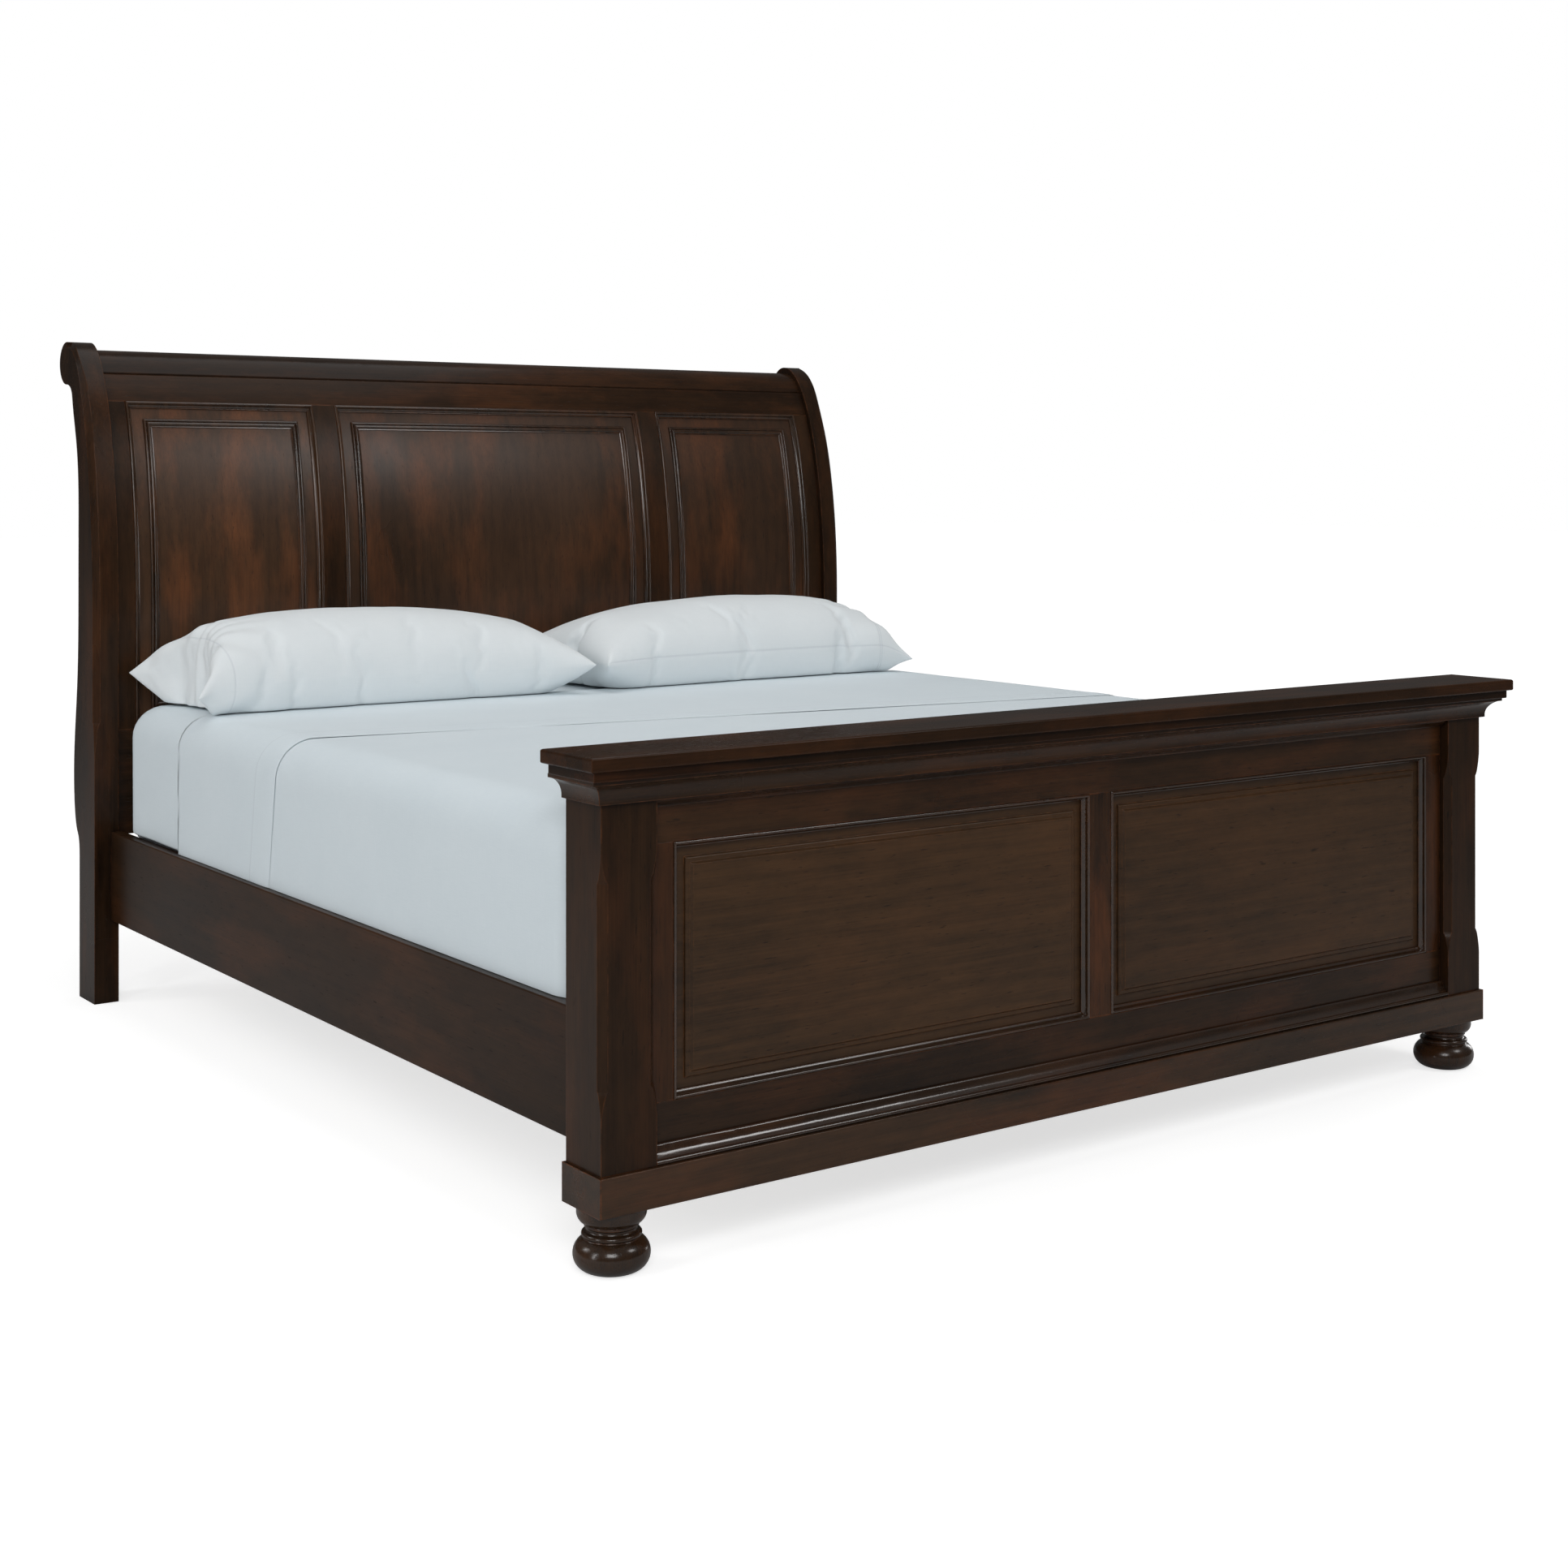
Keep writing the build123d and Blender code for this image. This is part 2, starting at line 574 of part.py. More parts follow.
def hook_plate(side, y, toward):
    """Steel plate let into a rail end, with two down-turned hooks."""
    x = side * BRACKET_X
    plate = block(x - 7.9, x + 7.9, y, y + toward * 2.9, BRACKET_Z - 79.9, BRACKET_Z + 79.9)
    for centre in (-40, 30):
        z = BRACKET_Z + centre
        neck = block(x - 1.5, x + 1.5, y + toward, y - toward * 14, z, z + 18)
        hook = block(x - 1.5, x + 1.5, y - toward * 8, y - toward * 14, z - 10, z + 1)
        plate = plate + neck + hook
    for sx, sz in bracket_screw_spots(side):
        plate = plate - screw_along_y(sx, sz, y, toward, 28.1, 2.05)
    return plate


def slotted_plate(side, y, toward):
    """Steel plate let into a post, with two slots that take the hooks."""
    x = side * BRACKET_X
    plate = block(x - 7.9, x + 7.9, y + toward * 0.1, y + toward * 2.9, BRACKET_Z - 79.9, BRACKET_Z + 79.9)
    for centre in (-40, 30):
        z = BRACKET_Z + centre
        plate = plate - block(x - 2.5, x + 2.5, y - toward, y + toward * 4, z - 11, z + 20)
    for sx, sz in bracket_screw_spots(side):
        plate = plate - screw_along_y(sx, sz, y, toward, 28.1, 2.05)
    return plate


def rail_screws():
    screws = []
    for side in (-1, 1):
        for x, z in bracket_screw_spots(side):
            screws.append(screw_along_y(x, z, RAIL_START + 0.05, 1, 27.5, 1.85))
            screws.append(screw_along_y(x, z, LEG_FRONT - 0.05, -1, 27.5, 1.85))
    return screws


def post_screws():
    screws = []
    for side in (-1, 1):
        for x, z in bracket_screw_spots(side):
            screws.append(screw_along_y(x, z, POST_BACK - 0.05, -1, 27.5, 1.85))
            screws.append(screw_along_y(x, z, LEG_FRONT + 0.05, 1, 27.5, 1.85))
    return screws


def cleat(side):
    bar = block(side * CLEAT_IN, side * RAIL_IN, RAIL_START + 18, LEG_FRONT - 18, CLEAT_BOTTOM, CLEAT_TOP)
    for y in SLAT_Y:
        bar = bar - rod(side * 985, y, CLEAT_TOP - 20, CLEAT_TOP + 1, 2.05)
    return bar


def slat(y):
    board = block(-SLAT_HALF, SLAT_HALF, y - SLAT_WIDTH / 2, y + SLAT_WIDTH / 2, CLEAT_TOP, SLAT_TOP)
    for side in (-1, 1):
        board = board - rod(side * 985, y, CLEAT_TOP - 1, SLAT_TOP + 1, 2.05)
        board = board - rod(side * 985, y, SLAT_TOP - 3, SLAT_TOP + 1, 4.3)
    if y in LEG_Y:
        board = board - rod(0, y, CLEAT_TOP - 1, SLAT_TOP + 1, 4.05)
        board = board - rod(0, y, SLAT_TOP - 5, SLAT_TOP + 1, 9.3)
    return board


def slat_screws():
    screws = []
    for side in (-1, 1):
        for y in SLAT_Y:
            shank = rod(side * 985, y, CLEAT_TOP - 19.5, SLAT_TOP - 2, 2.0)
            screws.append(shank + rod(side * 985, y, SLAT_TOP - 3, SLAT_TOP - 0.6, 4.2))
    return screws


def support_leg(y):
    half = LEG_SIZE / 2
    leg = block(-half, half, y - half, y + half, LEG_BOTTOM, CLEAT_TOP)
    leg = chamfer(leg.edges().group_by(Axis.Z)[0], 3.0)
    leg = leg - rod(0, y, CLEAT_TOP - 45, CLEAT_TOP + 1, 4.05)
    return leg - rod(0, y, LEG_BOTTOM - 1, LEG_BOTTOM + 36, 4.05)


def leg_bolts():
    bolts = []
    for y in LEG_Y:
        shank = rod(0, y, CLEAT_TOP - 44, SLAT_TOP - 4, 4.0)
        bolts.append(shank + rod(0, y, SLAT_TOP - 5, SLAT_TOP - 0.6, 9.2))
    return bolts


def glide(y):
    """Levelling glide: a round pad on a threaded stem."""
    pad = fillet(Cylinder(17, 8).edges().group_by(Axis.Z)[-1], 3.0)
    pad = Pos(0, y, 4) * pad
    nut_plane = Plane.XY.offset(8)
    nut = extrude(nut_plane * Pos(0, y) * RegularPolygon(8, 6), 5)
    return pad + nut + rod(0, y, 7, LEG_BOTTOM + 34, 4.0)


def padded_box(x0, x1, y0, y1, z0, z1, corner, edge):
    body = block(x0, x1, y0, y1, z0, z1)
    body = fillet(body.edges().filter_by(Axis.Z), corner)
    rims = body.edges().group_by(Axis.Z)
    return fillet(list(rims[0]) + list(rims[-1]), edge)


def foundation_half(side):
    return padded_box(side * 3, side * 984, MATTRESS_FOOT + 6, MATTRESS_HEAD - 6, SLAT_TOP + 0.3, FOUNDATION_TOP, 30, 8)


def mattress():
    return padded_box(
        -MATTRESS_HALF, MATTRESS_HALF, MATTRESS_FOOT, MATTRESS_HEAD,
        MATTRESS_BOTTOM, MATTRESS_TOP, 70, 40,
    )


def pillow(side):
    """A plump rectangular pillow, flattened a little underneath."""
    shape = Box(PILLOW_LENGTH, PILLOW_WIDTH, PILLOW_HEIGHT)
    shape = fillet(shape.edges().filter_by(Axis.Z), 90)
    shape = fillet(shape.edges().group_by(Axis.Z)[-1], 85)
    shape = fillet(shape.edges().group_by(Axis.Z)[0], 70)
    centre = Pos(side * PILLOW_X + PILLOW_SHIFT, PILLOW_Y, MATTRESS_TOP + GAP + PILLOW_HEIGHT / 2)
    return centre * shape


def build_pieces():
    pieces = {}
    for side, name in ((-1, "left"), (1, "right")):
        pieces["headboard_post_" + name] = headboard_post(side)
        pieces["footboard_post_" + name] = foot_post(side)
        pieces["bun_foot_" + name] = bun_foot(side)
        pieces["side_rail_" + name] = side_rail(side)
        pieces["slat_cleat_" + name] = cleat(side)
        pieces["foundation_" + name] = foundation_half(side)
        pieces["pillow_" + name] = pillow(side)
        stile = sorted((side * OUTER_STILE_IN, side * POST_IN))
        pieces["headboard_outer_stile_" + name] = head_stile(stile[0], stile[1])
        stile = sorted((side * INNER_STILE_IN, side * INNER_STILE_OUT))
        pieces["headboard_inner_stile_" + name] = head_stile(stile[0], stile[1])
        stile = sorted((side * FOOT_STILE_IN, side * FOOT_POST_IN))
        pieces["footboard_stile_" + name] = foot_frame_member(stile[0], stile[1], FOOT_PANEL_BOTTOM, FOOT_PANEL_TOP)
    pieces["headboard_roll_rail"] = roll_rail()
    pieces["headboard_top_rail"] = head_frame_member(
        -POST_IN, POST_IN, HEAD_PANEL_TOP - 20, GROOVE_HEIGHT, 3.0, Keep.TOP,
    )
    pieces["headboard_bottom_rail"] = head_frame_member(
        -POST_IN, POST_IN, HEAD_FRAME_BOTTOM, HEAD_PANEL_BOTTOM,
    )
    pieces["headboard_sticking"] = []
    pieces["headboard_bead"] = []
    for (left, right), name in zip(head_panel_spans(), ("left", "centre", "right")):
        pieces["headboard_panel_" + name] = head_panel(left, right)
        pieces["headboard_sticking"] += head_moulding(left, right, 0.0, edge_profile())
        pieces["headboard_bead"] += head_moulding(left, right, INNER_BEAD_INSET, bead_profile())
    pieces["footboard_cap"] = foot_cap()
    pieces["footboard_cap_step"] = cap_step()
    pieces["footboard_cove"] = cove_moulding()
    pieces["footboard_frieze"] = frieze_moulding()
    pieces["footboard_top_rail"] = foot_frame_member(-FOOT_POST_IN, FOOT_POST_IN, FOOT_PANEL_TOP, STEP_BOTTOM)
    pieces["footboard_bottom_rail"] = foot_frame_member(-FOOT_POST_IN, FOOT_POST_IN, 110, FOOT_PANEL_BOTTOM)
    pieces["footboard_centre_stile"] = foot_frame_member(
        -CENTRE_STILE_HALF, CENTRE_STILE_HALF, FOOT_PANEL_BOTTOM, FOOT_PANEL_TOP,
    )
    pieces["footboard_sticking"] = []
    for (left, right), name in zip(foot_panel_spans(), ("left", "right")):
        pieces["footboard_panel_" + name] = foot_panel(left, right)
        pieces["footboard_sticking"] += foot_moulding(left, right)
    pieces["footboard_base_moulding"] = base_moulding()
    pieces["plinth_front"] = plinth_front()
    pieces["plinth_returns"] = [plinth_return(side) for side in (-1, 1)]
    pieces["bun_foot_bolts"] = hanger_bolts()
    ends = [(side, y, toward) for side in (-1, 1) for y, toward in ((RAIL_START, 1), (LEG_FRONT, -1))]
    pieces["rail_hook_plates"] = [hook_plate(*end) for end in ends]
    ends = [(side, y, toward) for side in (-1, 1) for y, toward in ((POST_BACK, -1), (LEG_FRONT, 1))]
    pieces["post_slotted_plates"] = [slotted_plate(*end) for end in ends]
    pieces["plate_screws"] = rail_screws() + post_screws()
    for number, y in enumerate(SLAT_Y):
        pieces["slat_%d" % (number + 1)] = slat(y)
    pieces["slat_screws"] = slat_screws()
    for number, y in enumerate(LEG_Y):
        pieces["support_leg_%d" % (number + 1)] = support_leg(y)
        pieces["leg_glide_%d" % (number + 1)] = glide(y)
    pieces["leg_bolts"] = leg_bolts()
    pieces["mattress"] = mattress()
    return pieces


os.makedirs("parts", exist_ok=True)
for name, piece in build_pieces().items():
    if isinstance(piece, list):
        solids = [solid for item in piece for solid in item.solids()]
        piece = Compound(children=solids)
    export_step(piece, "parts/" + name + ".step")
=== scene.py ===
# %% [markdown]
# A king-size sleigh bed, dressed for the shop floor.
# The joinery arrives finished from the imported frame: posts, rails, panels and mouldings
# keep their own meshes and only get their finish here. The soft things, which are the
# mattress, the sheets, the pillows and the covered foundation, are made in this file.

# %% Load the bed frame
import math

import bmesh
import bpy
from mathutils import Matrix, Vector, noise


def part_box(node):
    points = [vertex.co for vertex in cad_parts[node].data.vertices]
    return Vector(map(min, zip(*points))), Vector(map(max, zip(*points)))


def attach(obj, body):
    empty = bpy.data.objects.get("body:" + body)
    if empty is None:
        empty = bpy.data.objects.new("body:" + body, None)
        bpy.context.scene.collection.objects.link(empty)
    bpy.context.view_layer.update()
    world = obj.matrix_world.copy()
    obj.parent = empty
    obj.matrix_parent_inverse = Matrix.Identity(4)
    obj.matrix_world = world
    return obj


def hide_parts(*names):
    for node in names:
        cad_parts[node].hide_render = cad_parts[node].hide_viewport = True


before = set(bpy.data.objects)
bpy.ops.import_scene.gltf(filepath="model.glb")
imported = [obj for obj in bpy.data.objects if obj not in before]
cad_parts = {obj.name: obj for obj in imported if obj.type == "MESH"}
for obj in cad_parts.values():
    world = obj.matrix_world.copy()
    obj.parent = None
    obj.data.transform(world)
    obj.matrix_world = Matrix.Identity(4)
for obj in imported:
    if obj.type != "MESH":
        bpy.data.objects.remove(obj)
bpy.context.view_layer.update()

# %% [markdown]
# Every finish below is a small network of nodes. Writing each node by hand takes many
# lines, so one helper puts a node down, sets its choices and feeds its sockets. A feed is
# either a number or another node's output, which is how a network reads in the editor.

# %% Helpers for laying out nodes


def lay(tree, kind, settings=None, feeds=None):
    """Put one node in a tree, set its choices, and feed its sockets."""
    node = tree.nodes.new(kind)
    for name, value in (settings or {}).items():
        setattr(node, name, value)
    for name, value in (feeds or {}).items():
        if isinstance(value, bpy.types.NodeSocket):
            tree.links.new(value, node.inputs[name])
        else:
            node.inputs[name].default_value = value
    return node


def sum_of(tree, kind, *values):
    """One Math node: ADD, MULTIPLY, POWER and so on."""
    return lay(tree, "ShaderNodeMath", {"operation": kind}, dict(enumerate(values))).outputs[0]


def spread(tree, value, low, high, new_low=0.0, new_high=1.0):
    """Stretch the part of a pattern between low and high over a new range."""
    feeds = {0: value, 1: low, 2: high, 3: new_low, 4: new_high}
    return lay(tree, "ShaderNodeMapRange", {"clamp": True}, feeds).outputs[0]


def blend_colour(tree, amount, under, over, how="MIX"):
    """Lay one colour over another by an amount."""
    settings = {"data_type": "RGBA", "blend_type": how}
    return lay(tree, "ShaderNodeMix", settings, {0: amount, 6: under, 7: over}).outputs[2]


def stretched(tree, vector, scale, offset=(0, 0, 0)):
    """The same place, stretched and shifted, so a pattern can run along the grain."""
    feeds = {"Vector": vector, "Scale": scale, "Location": offset}
    return lay(tree, "ShaderNodeMapping", {}, feeds).outputs[0]


def cloud(tree, vector, scale, detail=3.0, rough=0.5):
    """Soft noise, the base of stain, fibre and wear."""
    feeds = {"Vector": vector, "Scale": scale, "Detail": detail, "Roughness": rough}
    return lay(tree, "ShaderNodeTexNoise", {}, feeds).outputs[0]


def new_group(name, takes, gives):
    """A shader node group with named inputs and outputs."""
    group = bpy.data.node_groups.new(name, "ShaderNodeTree")
    for label, kind, value in takes:
        socket = group.interface.new_socket(
            name=label, in_out="INPUT", socket_type="NodeSocket" + kind
        )
        if value is not None:
            socket.default_value = value
    for label, kind in gives:
        group.interface.new_socket(
            name=label, in_out="OUTPUT", socket_type="NodeSocket" + kind
        )
    given = group.nodes.new("NodeGroupInput").outputs
    result = group.nodes.new("NodeGroupOutput")
    return group, given, result


# %% [markdown]
# Stained wood. The bed is a pale close-grained hardwood under a dark cherry-brown stain
# and satin lacquer. The stain soaks in unevenly, so there are three scales to show: broad
# cloudy patches, faint arched figure, and hair-fine fibre with short dark pores. Long warm
# streaks along the grain are a painted sheen, standing for the shimmer of the figure. All
# of them are longer along the grain than across it, so the group works on a place whose Z
# runs along the grain, and each material turns its own wood to suit. No two boards come
# out of the stain alike, so each piece's own number makes it a little lighter or darker.

# %% Node group: stained grain with a painted sheen
PORE_BLACK = (0.006, 0.004, 0.003, 1)
stained_grain, given, result = new_group(
    "stained_grain",
    [
        ("Vector", "Vector", None),
        ("Board", "Float", 0.0),
        ("Dark", "Color", (0.016, 0.009, 0.006, 1)),
        ("Middle", "Color", (0.06, 0.028, 0.014, 1)),
        ("Warm", "Color", (0.14, 0.05, 0.018, 1)),
        ("Painted Sheen", "Float", 0.5),
        ("Gloss", "Float", 0.3),
    ],
    [("Colour", "Color"), ("Roughness", "Float"), ("Height", "Float")],
)
tree = stained_grain
shift = lay(tree, "ShaderNodeVectorMath", {"operation": "SCALE"}, {0: (31.7, 17.3, 11.9)})
tree.links.new(given["Board"], shift.inputs["Scale"])
placed = lay(
    tree, "ShaderNodeVectorMath", {"operation": "ADD"}, {0: given["Vector"], 1: shift.outputs[0]}
).outputs[0]
clouds = cloud(tree, stretched(tree, placed, (1, 1, 0.42)), 3.4, 3.0, 0.5)
# Long warm streaks along the grain: a painted sheen standing for the shimmer of the figure.
painted_sheen_streaks = cloud(tree, stretched(tree, placed, (1, 1, 0.3), (3, 5, 2)), 9.0, 5.0, 0.62)
fibre = cloud(tree, stretched(tree, placed, (1, 1, 0.02)), 300.0, 4.0, 0.62)
pores = cloud(tree, stretched(tree, placed, (1, 1, 0.12), (7, 1, 4)), 290.0, 2.0, 0.5)
arches = lay(
    tree,
    "ShaderNodeTexWave",
    {"wave_type": "BANDS", "bands_direction": "X", "wave_profile": "SIN"},
    {
        "Vector": stretched(tree, placed, (1, 1, 0.12)),
        "Scale": 9.0,
        "Distortion": 11.0,
        "Detail": 3.0,
        "Detail Scale": 1.3,
        "Detail Roughness": 0.6,
    },
).outputs["Fac"]
mottle = cloud(tree, stretched(tree, placed, (1, 1, 0.4), (2, 8, 6)), 38.0, 4.0, 0.7)
dapple = sum_of(tree, "MULTIPLY", sum_of(tree, "SUBTRACT", mottle, 0.5), 0.5)
figure = sum_of(tree, "MULTIPLY", sum_of(tree, "SUBTRACT", arches, 0.5), 0.13)
fine = sum_of(tree, "MULTIPLY", sum_of(tree, "SUBTRACT", fibre, 0.5), 0.55)
depth = sum_of(tree, "ADD", sum_of(tree, "ADD", clouds, figure), sum_of(tree, "ADD", dapple, fine))
body = blend_colour(tree, spread(tree, depth, 0.12, 0.88), given["Dark"], given["Middle"])
# How much painted sheen is laid over the stain colour, set by the finish.
painted_sheen_amount = sum_of(tree, "MULTIPLY", spread(tree, painted_sheen_streaks, 0.47, 0.80), given["Painted Sheen"])
stain_and_painted_sheen = blend_colour(
    tree, sum_of(tree, "MULTIPLY", painted_sheen_amount, spread(tree, fibre, 0.3, 0.7, 0.55, 1.0)),
    body, given["Warm"],
)
pore_mask = spread(tree, pores, 0.66, 0.74)
dark_pore = sum_of(tree, "MULTIPLY", pore_mask, 0.6)
ticked = blend_colour(tree, dark_pore, stain_and_painted_sheen, PORE_BLACK)
which = sum_of(tree, "FRACT", sum_of(tree, "MULTIPLY", given["Board"], 7.31))
board_tone = lay(
    tree,
    "ShaderNodeHueSaturation",
    {},
    {"Value": spread(tree, which, 0.0, 1.0, 0.82, 1.3), "Color": ticked},
).outputs[0]
tree.links.new(board_tone, result.inputs["Colour"])
lacquer = sum_of(tree, "ADD", given["Gloss"], spread(tree, clouds, 0.3, 0.7, -0.035, 0.05))
tree.links.new(
    sum_of(tree, "ADD", lacquer, sum_of(tree, "MULTIPLY", pore_mask, 0.12)),
    result.inputs["Roughness"],
)
tree.links.new(
    sum_of(tree, "SUBTRACT", fibre, sum_of(tree, "MULTIPLY", pore_mask, 0.6)),
    result.inputs["Height"],
)
print("stained_grain has", len(tree.nodes), "nodes")

# %% [markdown]
# Rubbed edges with a painted highlight. A furniture finisher rubs the glaze thin on the
# sharp edges, where the red of the first stain shows through, and the same lighter red
# also serves as a painted highlight along each edge. A Bevel node finds the edges by
# comparing the rounded normal with the true one, and it also gives each machined edge the
# tiny round that catches the light.

# %% Node group: rubbed edges with a painted highlight
edge_round_wear_and_highlight, given, result = new_group(
    "edge_round_wear_and_highlight",
    [("Round", "Float", 0.0015), ("Reach", "Float", 0.004), ("Vector", "Vector", None)],
    [("Mask", "Float"), ("Normal", "Vector")],
)
tree = edge_round_wear_and_highlight
wide = lay(tree, "ShaderNodeBevel", {"samples": 4}, {"Radius": given["Reach"]}).outputs[0]
small = lay(tree, "ShaderNodeBevel", {"samples": 8}, {"Radius": given["Round"]}).outputs[0]
true_normal = lay(tree, "ShaderNodeNewGeometry").outputs["Normal"]
agree = lay(
    tree, "ShaderNodeVectorMath", {"operation": "DOT_PRODUCT"}, {0: wide, 1: true_normal}
).outputs["Value"]
edge = spread(tree, agree, 0.97, 0.72)
patchy = spread(tree, cloud(tree, given["Vector"], 34.0, 4.0, 0.65), 0.38, 0.62)
tree.links.new(sum_of(tree, "MULTIPLY", edge, patchy), result.inputs["Mask"])
tree.links.new(small, result.inputs["Normal"])

# %% [markdown]
# Glaze and painted shade in the corners. The same dark glaze is wiped on wet and wiped
# off again, and it stays wherever the rag can't reach: beside the mouldings, in the grooves
# and under the cap. Ambient Occlusion is dark in just those places, because little of the
# room is open to them, so it serves as the mask, made uneven as a hand would leave it.
# As that mask follows where shade falls, the darkening is painted shade as well as glaze.

# %% Node group: glaze and painted shade in the recesses
glaze_and_painted_shade, given, result = new_group(
    "glaze_and_painted_shade",
    [("Distance", "Float", 0.02), ("Vector", "Vector", None)],
    [("Mask", "Float")],
)
tree = glaze_and_painted_shade
# Ambient Occlusion marks where shade falls, so the darkening it drives is partly painted shade.
shade = lay(
    tree, "ShaderNodeAmbientOcclusion", {"samples": 4}, {"Distance": given["Distance"]}
).outputs["AO"]
uneven = spread(tree, cloud(tree, given["Vector"], 22.0, 3.0, 0.6), 0.3, 0.7, 0.6, 1.0)
tree.links.new(
    sum_of(tree, "MULTIPLY", spread(tree, shade, 0.92, 0.35), uneven), result.inputs["Mask"]
)
print("edge_round_wear_and_highlight has", len(edge_round_wear_and_highlight.nodes), "nodes, glaze_and_painted_shade", len(glaze_and_painted_shade.nodes))

# %% [markdown]
# The recipe for a wood finish goes in the order of the real work: stain with a painted
# sheen on the timber, glaze and painted shade in the corners, wear and a painted highlight
# on the edges, lacquer over all. It takes three tones of one stain, from the darkest to the
# warmest. The Principled shader stays in the material, and the groups only feed it patterns.

# %% The recipe for a wood finish
# The near-black laid into the recesses: glaze and painted shade.
GLAZE_AND_SHADE_BLACK = (0.007, 0.005, 0.004, 1)
# How much brighter the warm red on the edges is: rubbed wear and a painted highlight.
EDGE_WEAR_AND_HIGHLIGHT = 2.1


def wood_finish(
    name, grain, tones, figure, gloss,
    glaze_and_shade_amount=0.75, rub_and_highlight=0.6, rounded=0.0016, shine=0.3, texture=0.16,
):
    """A stained, glazed and lacquered wood whose grain runs along one direction, with painted shade
    in its recesses, a painted highlight on its edges and a painted sheen along its grain.
    """
    dark, middle, warm = tones
    material = bpy.data.materials.new(name)
    material.use_nodes = True
    tree = material.node_tree
    surface = tree.nodes["Principled BSDF"]
    place = lay(tree, "ShaderNodeTexCoord").outputs["Object"]
    along = lay(tree, "ShaderNodeMapping", {}, {"Vector": place, "Rotation": grain}).outputs[0]
    board = lay(tree, "ShaderNodeObjectInfo").outputs["Random"]
    timber = lay(
        tree,
        "ShaderNodeGroup",
        {"node_tree": stained_grain},
        {
            "Vector": along,
            "Board": board,
            "Dark": (*dark, 1),
            "Middle": (*middle, 1),
            "Warm": (*warm, 1),
            "Painted Sheen": figure,
            "Gloss": gloss,
        },
    )
    edges = lay(
        tree,
        "ShaderNodeGroup",
        {"node_tree": edge_round_wear_and_highlight},
        {"Vector": place, "Round": rounded, "Reach": rounded * 2.4},
    )
    glaze_and_shade_node = lay(tree, "ShaderNodeGroup", {"node_tree": glaze_and_painted_shade}, {"Vector": place})
    # Glaze and painted shade darken the wood where Ambient Occlusion finds recesses.
    glazed_and_shaded = blend_colour(
        tree,
        sum_of(tree, "MULTIPLY", glaze_and_shade_node.outputs["Mask"], glaze_and_shade_amount),
        timber.outputs["Colour"],
        GLAZE_AND_SHADE_BLACK,
    )
    # The edges turn a lighter red: rubbed wear and a painted highlight.
    worn_and_highlighted = blend_colour(
        tree,
        sum_of(tree, "MULTIPLY", edges.outputs["Mask"], rub_and_highlight),
        glazed_and_shaded,
        tuple(channel * EDGE_WEAR_AND_HIGHLIGHT for channel in warm) + (1,),
    )
    tree.links.new(worn_and_highlighted, surface.inputs["Base Color"])
    tree.links.new(timber.outputs["Roughness"], surface.inputs["Roughness"])
    bump = lay(
        tree,
        "ShaderNodeBump",
        {},
        {
            "Height": timber.outputs["Height"],
            "Normal": edges.outputs["Normal"],
            "Strength": texture,
            "Distance": 0.0006,
        },
    )
    tree.links.new(bump.outputs[0], surface.inputs["Normal"])
    surface.inputs["IOR"].default_value = 1.5
    surface.inputs["Specular IOR Level"].default_value = shine
    return material


# %% [markdown]
# The wood finishes of the bed. The posts and stiles have upright grain, the rails and the
# cap have grain along the bed's width, and the side rails along its length. The veneered
# panels are redder and more figured than the solid members, the mouldings are glossier,
# and the cap and rails get darker copies of the frame's tones, which is painted shade. Each
# finish turns the grain to suit.

# %% Wood finishes
UPRIGHT = (0, 0, 0)
CROSSWISE = (0, math.radians(90), 0)
LENGTHWISE = (math.radians(90), 0, 0)

DARK = (0.009, 0.0048, 0.0027)
RED = (0.115, 0.038, 0.0125)
RUSSET = (0.16, 0.048, 0.0145)
FRAME_TONES = (DARK, (0.041, 0.0188, 0.0076), RED)
STILE_TONES = (DARK, (0.06, 0.0235, 0.0082), RUSSET)
PLINTH_TONES = ((0.016, 0.009, 0.0045), (0.072, 0.034, 0.0145), RUSSET)
# The cap and rail tones are darker copies of the frame's: painted shade.
CAP_SHADED_TONES = (DARK, (0.03, 0.0136, 0.0058), RED)
RAIL_SHADED_TONES = (DARK, (0.031, 0.015, 0.0068), RED)
FOOT_VENEER_TONES = ((0.025, 0.013, 0.0055), (0.087, 0.0405, 0.0148), (0.135, 0.053, 0.017))
HEAD_VENEER_TONES = ((0.022, 0.0115, 0.006), (0.068, 0.031, 0.0135), (0.19, 0.06, 0.019))

# The number after the tones sets the strength of the painted sheen along the grain.
upright_maple = wood_finish("upright_maple", UPRIGHT, FRAME_TONES, 0.55, 0.28, shine=0.14)
stile_maple = wood_finish("stile_maple", UPRIGHT, STILE_TONES, 0.7, 0.28, shine=0.2)
cross_maple = wood_finish("cross_maple", CROSSWISE, FRAME_TONES, 0.6, 0.28, shine=0.2)
plinth_maple = wood_finish("plinth_maple", CROSSWISE, PLINTH_TONES, 0.6, 0.28, shine=0.3)
rail_maple = wood_finish("rail_maple", LENGTHWISE, RAIL_SHADED_TONES, 0.45, 0.3, shine=0.1)
foot_veneer = wood_finish("foot_veneer", CROSSWISE, FOOT_VENEER_TONES, 0.4, 0.36, shine=0.26)
head_veneer = wood_finish("head_veneer", UPRIGHT, HEAD_VENEER_TONES, 0.75, 0.3, shine=0.28)
turned_maple = wood_finish("turned_maple", UPRIGHT, FRAME_TONES, 0.6, 0.2, shine=0.5)
cap_maple = wood_finish(
    "cap_maple", CROSSWISE, CAP_SHADED_TONES, 0.5, 0.24,
    rub_and_highlight=0.2, rounded=0.0022, shine=0.12, texture=0.05,
)
